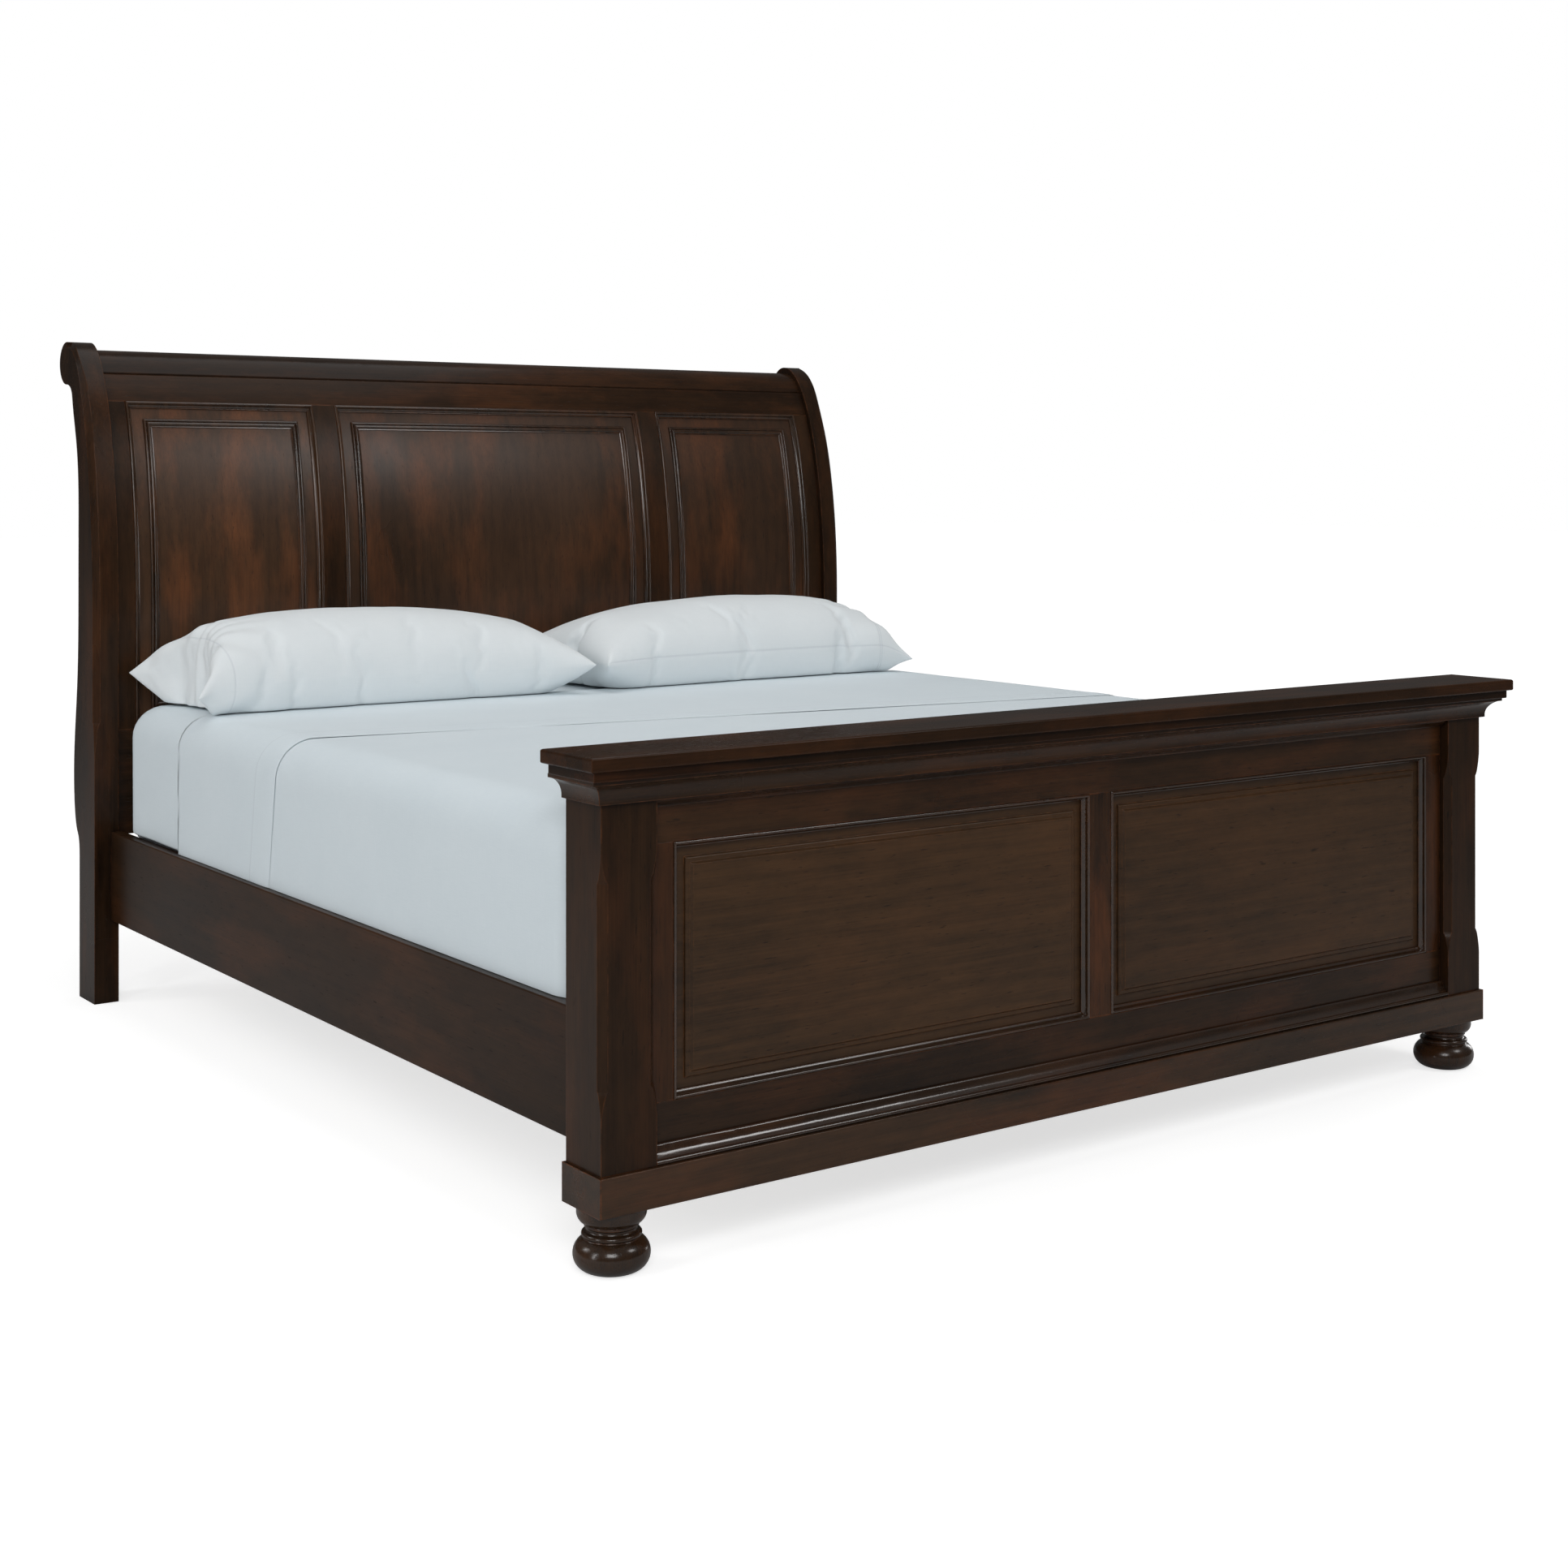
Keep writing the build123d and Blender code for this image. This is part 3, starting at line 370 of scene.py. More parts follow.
cove_maple = wood_finish(
    "cove_maple", CROSSWISE, FRAME_TONES, 0.5, 0.24,
    glaze_and_shade_amount=0.6, rub_and_highlight=0.7, rounded=0.0012, shine=0.22, texture=0.05,
)
bead_maple = wood_finish(
    "bead_maple", UPRIGHT, FRAME_TONES, 0.5, 0.16,
    glaze_and_shade_amount=0.7, rub_and_highlight=0.5, rounded=0.0012, shine=0.5, texture=0.02,
)
moulding_maple = wood_finish(
    "moulding_maple", CROSSWISE, FRAME_TONES, 0.5, 0.16,
    glaze_and_shade_amount=0.6, rub_and_highlight=0.75, rounded=0.0012, shine=0.75, texture=0.03,
)
made = [m.name for m in bpy.data.materials if m.name.endswith(("maple", "veneer"))]
print("wood finishes:", made)

# %% [markdown]
# The hidden timber, steel and glides. The slats, cleats and centre legs are plain pine
# with no stain, so the same grain group serves with honey colours and a dull surface.
# The hooks, plates, screws and bolts are zinc-plated steel with a faint cloudy bloom,
# and the glides under the centre legs are black nylon with a fine moulded texture.

# %% Plain timber, steel and nylon
PINE_TONES = ((0.38, 0.24, 0.12), (0.62, 0.44, 0.25), (0.55, 0.33, 0.16))
plain_pine = wood_finish("plain_pine", CROSSWISE, PINE_TONES, 0.3, 0.6, glaze_and_shade_amount=0.12, rub_and_highlight=0.2)


def plain_finish(name, colour, darker, roughness, metallic, scale, bump_distance):
    """A simple finish whose colour, roughness and bump all drift over the surface."""
    material = bpy.data.materials.new(name)
    material.use_nodes = True
    tree = material.node_tree
    surface = tree.nodes["Principled BSDF"]
    place = lay(tree, "ShaderNodeTexCoord").outputs["Object"]
    drift = cloud(tree, place, scale, 4.0, 0.6)
    speck = cloud(tree, place, scale * 14, 2.0, 0.6)
    edges = lay(
        tree,
        "ShaderNodeGroup",
        {"node_tree": edge_round_wear_and_highlight},
        {"Vector": place, "Round": 0.0004},
    )
    mixed = blend_colour(tree, spread(tree, drift, 0.35, 0.65), (*darker, 1), (*colour, 1))
    tree.links.new(mixed, surface.inputs["Base Color"])
    tree.links.new(
        spread(tree, drift, 0.3, 0.7, roughness * 0.8, roughness * 1.2), surface.inputs["Roughness"]
    )
    surface.inputs["Metallic"].default_value = metallic
    bump = lay(
        tree,
        "ShaderNodeBump",
        {},
        {
            "Height": speck,
            "Normal": edges.outputs["Normal"],
            "Strength": 0.3,
            "Distance": bump_distance,
        },
    )
    tree.links.new(bump.outputs[0], surface.inputs["Normal"])
    return material


zinc_steel = plain_finish(
    "zinc_steel", (0.62, 0.61, 0.58), (0.42, 0.42, 0.41), 0.34, 1.0, 60, 0.0002
)
black_nylon = plain_finish(
    "black_nylon", (0.028, 0.028, 0.03), (0.015, 0.015, 0.016), 0.5, 0.0, 90, 0.0003
)
print("plain finishes:", plain_pine.name, zinc_steel.name, black_nylon.name)

# %% [markdown]
# Dressing the joinery. In a workshop the parts are sorted into piles by finish before
# spraying. The table below is that sorting: the start of a part's name picks its finish,
# and the first line that fits wins, so the special parts stand above the general ones.
# Only the material in each slot changes; the parts themselves are not touched.

# %% Dress the joinery
FINISH_OF = {
    "footboard_panel": foot_veneer,
    "headboard_panel": head_veneer,
    "footboard_post": upright_maple,
    "footboard_stile": stile_maple,
    "footboard_centre_stile": stile_maple,
    "headboard_post": upright_maple,
    "headboard_inner_stile": upright_maple,
    "headboard_outer_stile": upright_maple,
    "headboard_bead": bead_maple,
    "headboard_sticking": bead_maple,
    "footboard_sticking": moulding_maple,
    "footboard_base_moulding": moulding_maple,
    "footboard_cove": cove_maple,
    "footboard_cap": cap_maple,
    "headboard_roll_rail": cap_maple,
    "headboard_top_rail": cap_maple,
    "footboard": cross_maple,
    "headboard": cross_maple,
    "plinth": plinth_maple,
    "side_rail": rail_maple,
    "bun_foot_bolts": zinc_steel,
    "bun_foot": turned_maple,
    "slat_cleat": plain_pine,
    "slat_screws": zinc_steel,
    "slat": plain_pine,
    "support_leg": plain_pine,
    "leg_glide": black_nylon,
    "leg_bolts": zinc_steel,
    "plate_screws": zinc_steel,
    "post_slotted_plates": zinc_steel,
    "rail_hook_plates": zinc_steel,
}
dressed = 0
for name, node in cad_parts.items():
    start = next((key for key in FINISH_OF if name.startswith(key)), None)
    if start is None:
        continue
    for place in node.material_slots:
        place.material = FINISH_OF[start]
    dressed += 1
print("nodes with a finish:", dressed)

# %% [markdown]
# Cotton. The sheets and pillowcases are a tight plain weave: seen close it is a square
# of over-and-under threads about half a millimetre apart, and seen from a step back it
# is a soft matt white with a slight sheen and barely visible slubs. The weave reads the
# piece's own flat map, in metres, so that it turns with every fold of the cloth.

# %% Node group: cotton weave
cotton_weave, given, result = new_group(
    "cotton_weave",
    [("Flat", "Vector", None), ("Threads", "Float", 1400.0)],
    [("Height", "Float"), ("Slub", "Float")],
)
tree = cotton_weave
threads = []
for turn in ("X", "Y"):
    threads.append(
        lay(
            tree,
            "ShaderNodeTexWave",
            {"wave_type": "BANDS", "bands_direction": turn},
            {"Vector": given["Flat"], "Scale": given["Threads"], "Distortion": 0.4, "Detail": 1.0},
        ).outputs["Fac"]
    )
slub_x = cloud(tree, stretched(tree, given["Flat"], (1, 0.04, 1)), 700.0, 2.0)
slub_y = cloud(tree, stretched(tree, given["Flat"], (0.04, 1, 1)), 700.0, 2.0)
slubs = sum_of(tree, "MULTIPLY", sum_of(tree, "ADD", slub_x, slub_y), 0.5)
woven = sum_of(tree, "MAXIMUM", threads[0], threads[1])
tree.links.new(
    sum_of(tree, "ADD", sum_of(tree, "MULTIPLY", woven, 0.5), slubs), result.inputs["Height"]
)
tree.links.new(slubs, result.inputs["Slub"])
print("cotton_weave has", len(tree.nodes), "nodes")

# %% [markdown]
# The recipe for cotton. A machine hem or seam is a row of stitches that pulls the cloth
# into a shallow groove, so the recipe takes a list of lines across the flat cloth, sinks the
# surface along each and paints a thin line of shade into it. Soft darker patches are painted
# shade standing for shallow creases. The white is slightly blue, as washed bedlinen is, and
# a little sheen stands for the fine fuzz on the threads.

# %% The recipe for cotton
STITCH_SHADE = (0.42, 0.46, 0.52, 1)


def cotton(name, light, shadow, weave_map, sheen=0.12, rough=0.82, stitches=()):
    """Woven cotton whose weave and stitch lines follow the named flat map."""
    material = bpy.data.materials.new(name)
    material.use_nodes = True
    tree = material.node_tree
    surface = tree.nodes["Principled BSDF"]
    flat = lay(tree, "ShaderNodeUVMap", {"uv_map": weave_map}).outputs[0]
    weave = lay(tree, "ShaderNodeGroup", {"node_tree": cotton_weave}, {"Flat": flat})
    # Soft darker patches in the colour: painted shade standing for shallow creases.
    painted_crease_shade = cloud(tree, flat, 6.0, 4.0, 0.55)
    tone = blend_colour(
        tree,
        sum_of(
            tree, "ADD", spread(tree, weave.outputs["Slub"], 0.4, 0.6, 0.0, 0.5),
            spread(tree, painted_crease_shade, 0.3, 0.7, 0.0, 0.5),
        ),
        (*shadow, 1),
        (*light, 1),
    )
    height = weave.outputs["Height"]
    parts = lay(tree, "ShaderNodeSeparateXYZ", {}, {0: flat})
    for axis, where in stitches:
        beside = sum_of(tree, "ABSOLUTE", sum_of(tree, "SUBTRACT", parts.outputs[axis], where))
        groove = spread(tree, beside, 0.0007, 0.0026, 1.0, 0.0)
        tone = blend_colour(
            # Each stitch line is painted darker: painted shade in its groove.
            tree, sum_of(tree, "MULTIPLY", groove, 0.2), tone, STITCH_SHADE
        )
        height = sum_of(tree, "SUBTRACT", height, sum_of(tree, "MULTIPLY", groove, 6.0))
    tree.links.new(tone, surface.inputs["Base Color"])
    tree.links.new(
        spread(tree, weave.outputs["Slub"], 0.3, 0.7, rough - 0.06, rough + 0.06),
        surface.inputs["Roughness"],
    )
    surface.inputs["Sheen Weight"].default_value = sheen
    surface.inputs["Sheen Roughness"].default_value = 0.5
    surface.inputs["Specular IOR Level"].default_value = 0.25
    bump = lay(
        tree, "ShaderNodeBump", {}, {"Height": height, "Strength": 0.35, "Distance": 0.00022}
    )
    tree.links.new(bump.outputs[0], surface.inputs["Normal"])
    return material


WHITE_COTTON = (0.765, 0.845, 0.885)
COTTON_SHADE = (0.72, 0.805, 0.85)

# %% [markdown]
# Small helpers for the soft pieces. Each piece is drawn with bmesh, then put in the scene
# as an object at the origin. flat_map writes a UV map in metres from any rule that turns
# a point of the cloth into its place on the flat cut.

# %% Helpers for soft pieces


def new_piece(name, bm, material):
    """Turn a finished bmesh into an object at the origin, smooth-shaded."""
    mesh = bpy.data.meshes.new(name)
    bm.to_mesh(mesh)
    bm.free()
    for face in mesh.polygons:
        face.use_smooth = True
    mesh.materials.append(material)
    piece = bpy.data.objects.new(name, mesh)
    bpy.context.scene.collection.objects.link(piece)
    return piece


def flat_map(bm, rule, name="flat"):
    """Write a UV map in metres from each corner's point."""
    layer = bm.loops.layers.uv.get(name) or bm.loops.layers.uv.new(name)
    for face in bm.faces:
        for corner in face.loops:
            corner[layer].uv = rule(corner.vert.co, face.normal)


def by_side(point, normal):
    """Flat place on the side of a box that a face looks out from."""
    if abs(normal.z) > 0.6:
        return point.x, point.y
    if abs(normal.x) > abs(normal.y):
        return point.y, point.z
    return point.x, point.z


def cross_cut(bm, axis, low, high, pitch):
    """Slice a mesh at even steps along one axis, to give it enough points to bend."""
    direction = Vector((0, 0, 0))
    direction[axis] = 1
    steps = max(1, round((high - low) / pitch))
    for step in range(1, steps):
        point = Vector((0, 0, 0))
        point[axis] = low + (high - low) * step / steps
        bmesh.ops.bisect_plane(
            bm, geom=bm.verts[:] + bm.edges[:] + bm.faces[:], dist=1e-5,
            plane_co=point, plane_no=direction,
        )


def smooth_step(value):
    value = min(1.0, max(0.0, value))
    return value * value * (3 - 2 * value)


# %% [markdown]
# The mattress under its fitted sheet. A fitted sheet is pulled tight by elastic below, so
# it takes the mattress's own shape: a block with softly rounded top edges and corners and
# almost no wrinkles, except short pulls that run out from each corner. The block starts
# as a cube, gets its rounded edges from bevels, is sliced to have points to spare, and a
# gentle noise then lifts and sinks the surface by a millimetre or two.

# %% Mattress block
SOFT_EDGE = 0.072
SHEET_UNDER = 0.0045

fitted_cotton = cotton("fitted_cotton", WHITE_COTTON, COTTON_SHADE, "flat")
bed_low, bed_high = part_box("mattress")
core_low = bed_low + Vector((SHEET_UNDER, SHEET_UNDER, 0.0))
core_high = bed_high - Vector((SHEET_UNDER, SHEET_UNDER, SHEET_UNDER))

bm = bmesh.new()
bmesh.ops.create_cube(bm, size=1.0)
bmesh.ops.scale(bm, vec=core_high - core_low, verts=bm.verts)
bmesh.ops.translate(bm, vec=(core_low + core_high) / 2, verts=bm.verts)


def edges_where(bm, rule):
    """The edges whose two ends fit a rule."""
    return [edge for edge in bm.edges if rule(edge.verts[0].co, edge.verts[1].co)]


corners = edges_where(bm, lambda a, b: abs(a.z - b.z) > 0.1)
bmesh.ops.bevel(
    bm, geom=corners, offset=0.085, offset_type="OFFSET", segments=8, profile=0.5,
    affect="EDGES", material=-1,
)
rim = edges_where(bm, lambda a, b: a.z > core_high.z - 1e-4 and b.z > core_high.z - 1e-4)
bmesh.ops.bevel(
    bm, geom=rim, offset=SOFT_EDGE, offset_type="OFFSET", segments=8, profile=0.5,
    affect="EDGES", material=-1,
)
base = edges_where(bm, lambda a, b: a.z < core_low.z + 1e-4 and b.z < core_low.z + 1e-4)
bmesh.ops.bevel(
    bm, geom=base, offset=0.008, offset_type="OFFSET", segments=3, profile=0.5,
    affect="EDGES", material=-1,
)
for axis, pitch in ((0, 0.045), (1, 0.045), (2, 0.035)):
    cross_cut(bm, axis, core_low[axis], core_high[axis], pitch)
bmesh.ops.remove_doubles(bm, verts=bm.verts, dist=1e-5)
bm.normal_update()
flat_map(bm, by_side)
print("mattress block faces", len(bm.faces))

# %% [markdown]
# The pull of the elastic. Near each corner the sheet is drawn into short creases that fan
# out from it, and elsewhere it only rises and falls with the padding underneath. The
# angle round the bed's middle makes the fan, and the distance to the nearest corner
# makes it fade away. Every point only moves inward, so the sheet stays inside its place.

# %% Fitted sheet
CORNER_REACH = 0.42
PULLS_ROUND = 46

for vert in bm.verts:
    to_corner = min(
        (Vector((x, y)) - vert.co.xy).length
        for x in (core_low.x, core_high.x) for y in (core_low.y, core_high.y)
    )
    pull = smooth_step(1 - to_corner / CORNER_REACH)
    angle = math.atan2(vert.co.y, vert.co.x) * PULLS_ROUND
    ripple = noise.noise(Vector((vert.co.x * 3.1, vert.co.y * 3.1, vert.co.z * 9)))
    crease = pull * (0.5 + 0.5 * math.sin(angle))
    vert.co -= vert.normal * (0.0009 + 0.0009 * ripple + 0.0016 * crease)
mattress_piece = new_piece("fitted_sheet_mattress", bm, fitted_cotton)
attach(mattress_piece, "mattress")
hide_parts("mattress")
print("mattress faces", len(mattress_piece.data.polygons))

# %% [markdown]
# The flat sheet. A king flat sheet is cut 2.59 by 2.74 metres. It lies over the mattress,
# drops down both sides and the foot, and its head end is turned back towards the foot,
# so that the wide hem shows across the bed. Each point of the cloth is known by how far
# it is across the bed and how far up from the foot hem. The rule below walks that far
# over the mattress: along the flat top, round the soft edge, and straight down the side.
# At the foot corners the cloth from both sides meets and drops no lower than they do.

# %% How the flat sheet lies
SHEET_WIDTH, SHEET_LENGTH = 2.59, 2.74
FOLD_Y = bed_low.y + 1.682
HEM_DEPTH = 0.095
LAYER = 0.0017

half_across = (core_high.x - core_low.x) / 2
flat_half = half_across - SOFT_EDGE
foot_start = core_low.y + SOFT_EDGE
quarter = math.pi / 2 * SOFT_EDGE
side_drop = bed_high.z - bed_low.z - SOFT_EDGE
half_cloth = flat_half + quarter + side_drop - 0.002
foot_drop = quarter + side_drop - 0.004
to_fold = foot_drop + (FOLD_Y - foot_start)


def over_mattress(across, along, lift):
    """The point reached by walking across from the middle and along from the foot edge."""
    out_x = max(0.0, abs(across) - flat_half)
    out_y = max(0.0, -along)
    out = max(out_x, out_y)
    slant = math.hypot(out_x, out_y)
    side = 1 if across >= 0 else -1
    x = min(abs(across), flat_half)
    y = foot_start + max(0.0, along)
    z = bed_high.z - SHEET_UNDER
    if out > 0:
        bend = min(out / SOFT_EDGE, math.pi / 2)
        reach = (SOFT_EDGE + lift) * math.sin(bend)
        fall = (SOFT_EDGE + lift) * (1 - math.cos(bend)) + max(0.0, out - quarter)
        x += reach * out_x / slant
        y -= reach * out_y / slant
        z -= fall
    return Vector((side * x, y, z + lift))


print("the sheet drops", round(side_drop + SOFT_EDGE, 3), "m at the sides")

# %% [markdown]
# Making the bed. The head end of the sheet is turned back over itself, one layer higher,
# and lies a little askew, so the turned-back part is longer on the right. A wide hem with
# one row of stitches runs along its end. The cloth starts as a flat grid; every point is
# walked to its place over the mattress, and a slow noise gives it a few soft puffs.

# %% Flat sheet with its head end turned back
TURN_MIDDLE, TURN_SLANT = 0.69, 0.155
FOLD_ROUND = 0.012


def turn_back(across):
    """How long the turned-back part is, this far across."""
    return TURN_MIDDLE + TURN_SLANT * (across / half_across)


flat_cotton = cotton(
    "flat_cotton", WHITE_COTTON, COTTON_SHADE, "flat",
    stitches=[("Y", SHEET_LENGTH - HEM_DEPTH)],
)
bm = bmesh.new()
bmesh.ops.create_grid(bm, x_segments=150, y_segments=190, size=1.0)
cloth_place = {}
for vert in bm.verts:
    across = vert.co.x * half_cloth
    share = (vert.co.y + 1) / 2
    total = to_fold + turn_back(across)
    walked = share * total
    wave = noise.noise(Vector((across * 2.1, walked * 1.7, 4.2)))
    fine_wave = noise.noise(Vector((across * 7.0, walked * 6.0, 9.1)))
    puff = 0.0011 * wave + 0.0004 * fine_wave
    if walked < to_fold:
        near = smooth_step((walked - (to_fold - FOLD_ROUND)) / FOLD_ROUND)
        lift = 0.0016 + puff + near * 0.0006
        along = walked - foot_drop
        cut = share * SHEET_LENGTH
    else:
        back = walked - to_fold
        rise = smooth_step(back / 0.006)
        lift = 0.0022 + puff + LAYER * rise
        along = (to_fold - back) - foot_drop
        hem = total - walked
        if hem < 0.004:
            lift -= LAYER * 0.75 * (1 - hem / 0.004)
        lift += 0.0007 * smooth_step(1 - abs(hem - HEM_DEPTH / 2) / (HEM_DEPTH / 2))
        cut = SHEET_LENGTH - hem
    cloth_place[vert.index] = (across, cut)
    vert.co = over_mattress(across, along, lift)
bm.verts.index_update()
layer = bm.loops.layers.uv.new("flat")
for face in bm.faces:
    for corner in face.loops:
        corner[layer].uv = cloth_place[corner.vert.index]
bm.normal_update()
sheet_piece = new_piece("flat_sheet", bm, flat_cotton)
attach(sheet_piece, "mattress")
print("sheet cloth", round(2 * half_cloth, 3), "by", round(to_fold + turn_back(0), 3))

# %% [markdown]
# Sewing a pillowcase. A case is two flat rectangles of cloth joined round the edge, and
# that is how it is drawn here: a grid, a copy of it turned face down, and a strip that
# bridges their outlines as the seam does. Both layers keep their flat places, so the
# weave stays true when the case is stuffed.

# %% Sew a pillowcase
CASE_LENGTH, CASE_WIDTH = 1.06, 0.56
LAYER_GAP = 0.006


def sew_case(length, width, cells_long, cells_wide):
    """Two layers of cloth joined round the edge."""
    bm = bmesh.new()
    bmesh.ops.create_grid(bm, x_segments=cells_long, y_segments=cells_wide, size=1.0)
    bmesh.ops.scale(bm, vec=(length / 2, width / 2, 1), verts=bm.verts)
    bmesh.ops.translate(bm, vec=(0, 0, LAYER_GAP / 2), verts=bm.verts)
    under = bmesh.ops.duplicate(bm, geom=bm.verts[:] + bm.edges[:] + bm.faces[:])["geom"]
    under_verts = [item for item in under if isinstance(item, bmesh.types.BMVert)]
    under_faces = [item for item in under if isinstance(item, bmesh.types.BMFace)]
    bmesh.ops.translate(bm, vec=(0, 0, -LAYER_GAP), verts=under_verts)
    bmesh.ops.reverse_faces(bm, faces=under_faces)
    bmesh.ops.bridge_loops(bm, edges=[edge for edge in bm.edges if edge.is_boundary])
    bm.normal_update()
    bmesh.ops.recalc_face_normals(bm, faces=bm.faces[:])
    return bm


# %% [markdown]
# Stuffing the pillow. As a pillow fills, the middle rises, the long sides pull in and the
# corners stay as sharp ears. Blender's cloth with air pressure does just that and makes
# the small gathers along the seam. The open end of the case is past the stuffing, so its
# points weigh almost nothing in the filling group and it stays a flat cuff. The result
# is kept as plain mesh, so nothing has to be simulated again.

# %% Blow up a case


def blow_up(piece, strength, frames, weights):
    """Cloth with air inside, run for some frames and kept as the piece's own mesh."""
    filling = piece.vertex_groups.new(name="filling")
    for index, weight in enumerate(weights):
        filling.add([index], weight, "REPLACE")
    cloth = piece.modifiers.new("cloth", "CLOTH")
    cloth.settings.quality = 6
    cloth.settings.mass = 0.12
    cloth.settings.tension_stiffness = 18
    cloth.settings.compression_stiffness = 6
    cloth.settings.shear_stiffness = 6
    cloth.settings.bending_stiffness = 0.12
    cloth.settings.air_damping = 2.0
    cloth.settings.use_pressure = True
    cloth.settings.uniform_pressure_force = strength
    cloth.settings.vertex_group_pressure = "filling"
    cloth.settings.effector_weights.gravity = 0.0
    scene = bpy.context.scene
    for number in range(1, frames + 1):
        scene.frame_set(number)
    grown = bpy.data.meshes.new_from_object(
        piece.evaluated_get(bpy.context.evaluated_depsgraph_get())
    )
    piece.modifiers.remove(cloth)
    piece.data = grown
    piece.vertex_groups.clear()
    scene.frame_set(1)


# %% [markdown]
# Settling the pillow. A pillow on a bed is flat below, where it rests, and the empty cuff
# droops to the mattress. Short folds fan out from the mouth of the case, and the rest of
# the cloth is only a little loose. The finished pillow is then fitted to the place that
# the frame keeps for it, and one level of subdivision smooths its outline.

# %% Settle a pillow
FLAT_SHIFT = Vector((0.7, 0.4))
UNDER_LAYER = 1.0


def case_map(point, normal):
    """Flat place on the case; the under layer lies one metre further."""
    return point.x + FLAT_SHIFT.x, point.y + FLAT_SHIFT.y + (UNDER_LAYER if normal.z < 0 else 0)


def settle(bm, open_side, droop, front_droop):
    """Droop the cuff, add folds at the mouth of the case and flatten the underside."""
    bm.normal_update()
    rest = -0.46 * max(vert.co.z for vert in bm.verts)
    half_long = max(abs(vert.co.x) for vert in bm.verts)
    half_wide = max(abs(vert.co.y) for vert in bm.verts)
    for vert in bm.verts:
        along, wide = vert.co.x / half_long * open_side, vert.co.y / half_wide
        past = smooth_step((along - 0.7) / 0.3)
        near_front = smooth_step((0.3 - wide) / 1.1)
        vert.co.z -= past * (droop + front_droop * near_front)
        mouth = smooth_step((along - 0.42) / 0.3) * smooth_step((1.04 - along) / 0.25)
        spoke = math.atan2(wide + 0.15, 1.12 - along)
        fan = math.sin(spoke * 17 + 2.3 * noise.noise(vert.co * 6))
        stripe = Vector((vert.co.x * 21, vert.co.y * 5, vert.co.z * 4 + open_side))
        folds = noise.noise(stripe) * (1 - 0.4 * mouth)
        loose = noise.noise(Vector((vert.co.x * 6, vert.co.y * 7, 3.3 + open_side)))
        vert.co += vert.normal * (0.0042 * mouth * fan + 0.0009 * folds + 0.0035 * loose)
        if vert.co.z < rest:
            vert.co.z = rest + (vert.co.z - rest) * 0.02


def fit_to(bm, low, high, turn, height):
    """Scale, turn and set the piece on the floor of its place."""
    least = Vector([min(vert.co[axis] for vert in bm.verts) for axis in range(3)])
    most = Vector([max(vert.co[axis] for vert in bm.verts) for axis in range(3)])
    seat = Vector(((least.x + most.x) / 2, (least.y + most.y) / 2, least.z))
    size = Vector((high.x - low.x, high.y - low.y, height))
    grow = Vector([size[axis] / (most[axis] - least[axis]) for axis in range(3)])
    place = ((low.x + high.x) / 2, (low.y + high.y) / 2, low.z)
    bmesh.ops.translate(bm, vec=-seat, verts=bm.verts)
    bmesh.ops.scale(bm, vec=grow, verts=bm.verts)
    bmesh.ops.rotate(
        bm, cent=(0, 0, 0), matrix=Matrix.Rotation(turn, 3, "Z"), verts=bm.verts
    )
    bmesh.ops.translate(bm, vec=place, verts=bm.verts)
    return grow


# %% [markdown]
# The two pillows. Each case starts as two flat layers with a low dome already drawn in,
# which gives the air something to push on. The left pillow's case opens to the left and
# the right one's to the right. The right one lies a touch crooked, as a hand leaves it,
# and its front seam shows, so its cotton carries an extra row of stitches there.

# %% Pillows in their cases
CUFF = 0.10
SEAM_AT = CASE_LENGTH / 2 - CUFF
HEIGHT_OF_DOME = 0.085
AIR, FRAMES = 5.0, 26
PILLOW_WHITE = (0.83, 0.87, 0.885)
PILLOW_SHADE = (0.79, 0.835, 0.855)


def make_pillow(node, material, open_side, turn, height, droop, front_droop):
    """One stuffed pillow in its case, settled into the place the frame keeps for it."""
    low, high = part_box(node)
    bm = sew_case(CASE_LENGTH, CASE_WIDTH, 96, 46)
    flat_map(bm, case_map)
    weights = []
    for vert in bm.verts:
        x, y = vert.co.x / (CASE_LENGTH / 2), vert.co.y / (CASE_WIDTH / 2)
        past = smooth_step((x * open_side - 0.80) / 0.2)
        round_x, round_y = max(0.0, 1 - x * x) ** 0.55, max(0.0, 1 - y * y) ** 0.55
        dome = round_x * round_y * (1 - 0.8 * past)
        vert.co.z += math.copysign(HEIGHT_OF_DOME * dome, vert.co.z)
        weights.append(1.0 - 0.93 * smooth_step((x * open_side - 0.78) / 0.14))
    piece = new_piece(node + "_case", bm, material)
    blow_up(piece, AIR, FRAMES, weights)
    bm = bmesh.new()
    bm.from_mesh(piece.data)
    settle(bm, open_side, droop, front_droop)
    grow = fit_to(bm, low, high, turn, height)
    bm.to_mesh(piece.data)
    bm.free()
    for face in piece.data.polygons:
        face.use_smooth = True
    finer = piece.modifiers.new("finer", "SUBSURF")
    finer.levels = finer.render_levels = 1
    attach(piece, node)
    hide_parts(node)
    print(node, "fitted by", [round(side, 3) for side in grow])


left_cotton = cotton(
    "left_case_cotton", PILLOW_WHITE, PILLOW_SHADE, "flat",
    stitches=[("X", FLAT_SHIFT.x - SEAM_AT)],
)
right_cotton = cotton(
    "right_case_cotton", PILLOW_WHITE, PILLOW_SHADE, "flat",
    stitches=[
        ("X", FLAT_SHIFT.x + SEAM_AT),
        ("X", FLAT_SHIFT.x + SEAM_AT - 0.006),
        ("Y", FLAT_SHIFT.y - CASE_WIDTH / 2 + 0.005),
    ],
)
make_pillow("pillow_left", left_cotton, -1, 0.0, 0.212, 0.0, 0.045)
make_pillow("pillow_right", right_cotton, 1, math.radians(1.5), 0.206, 0.04, 0.02)

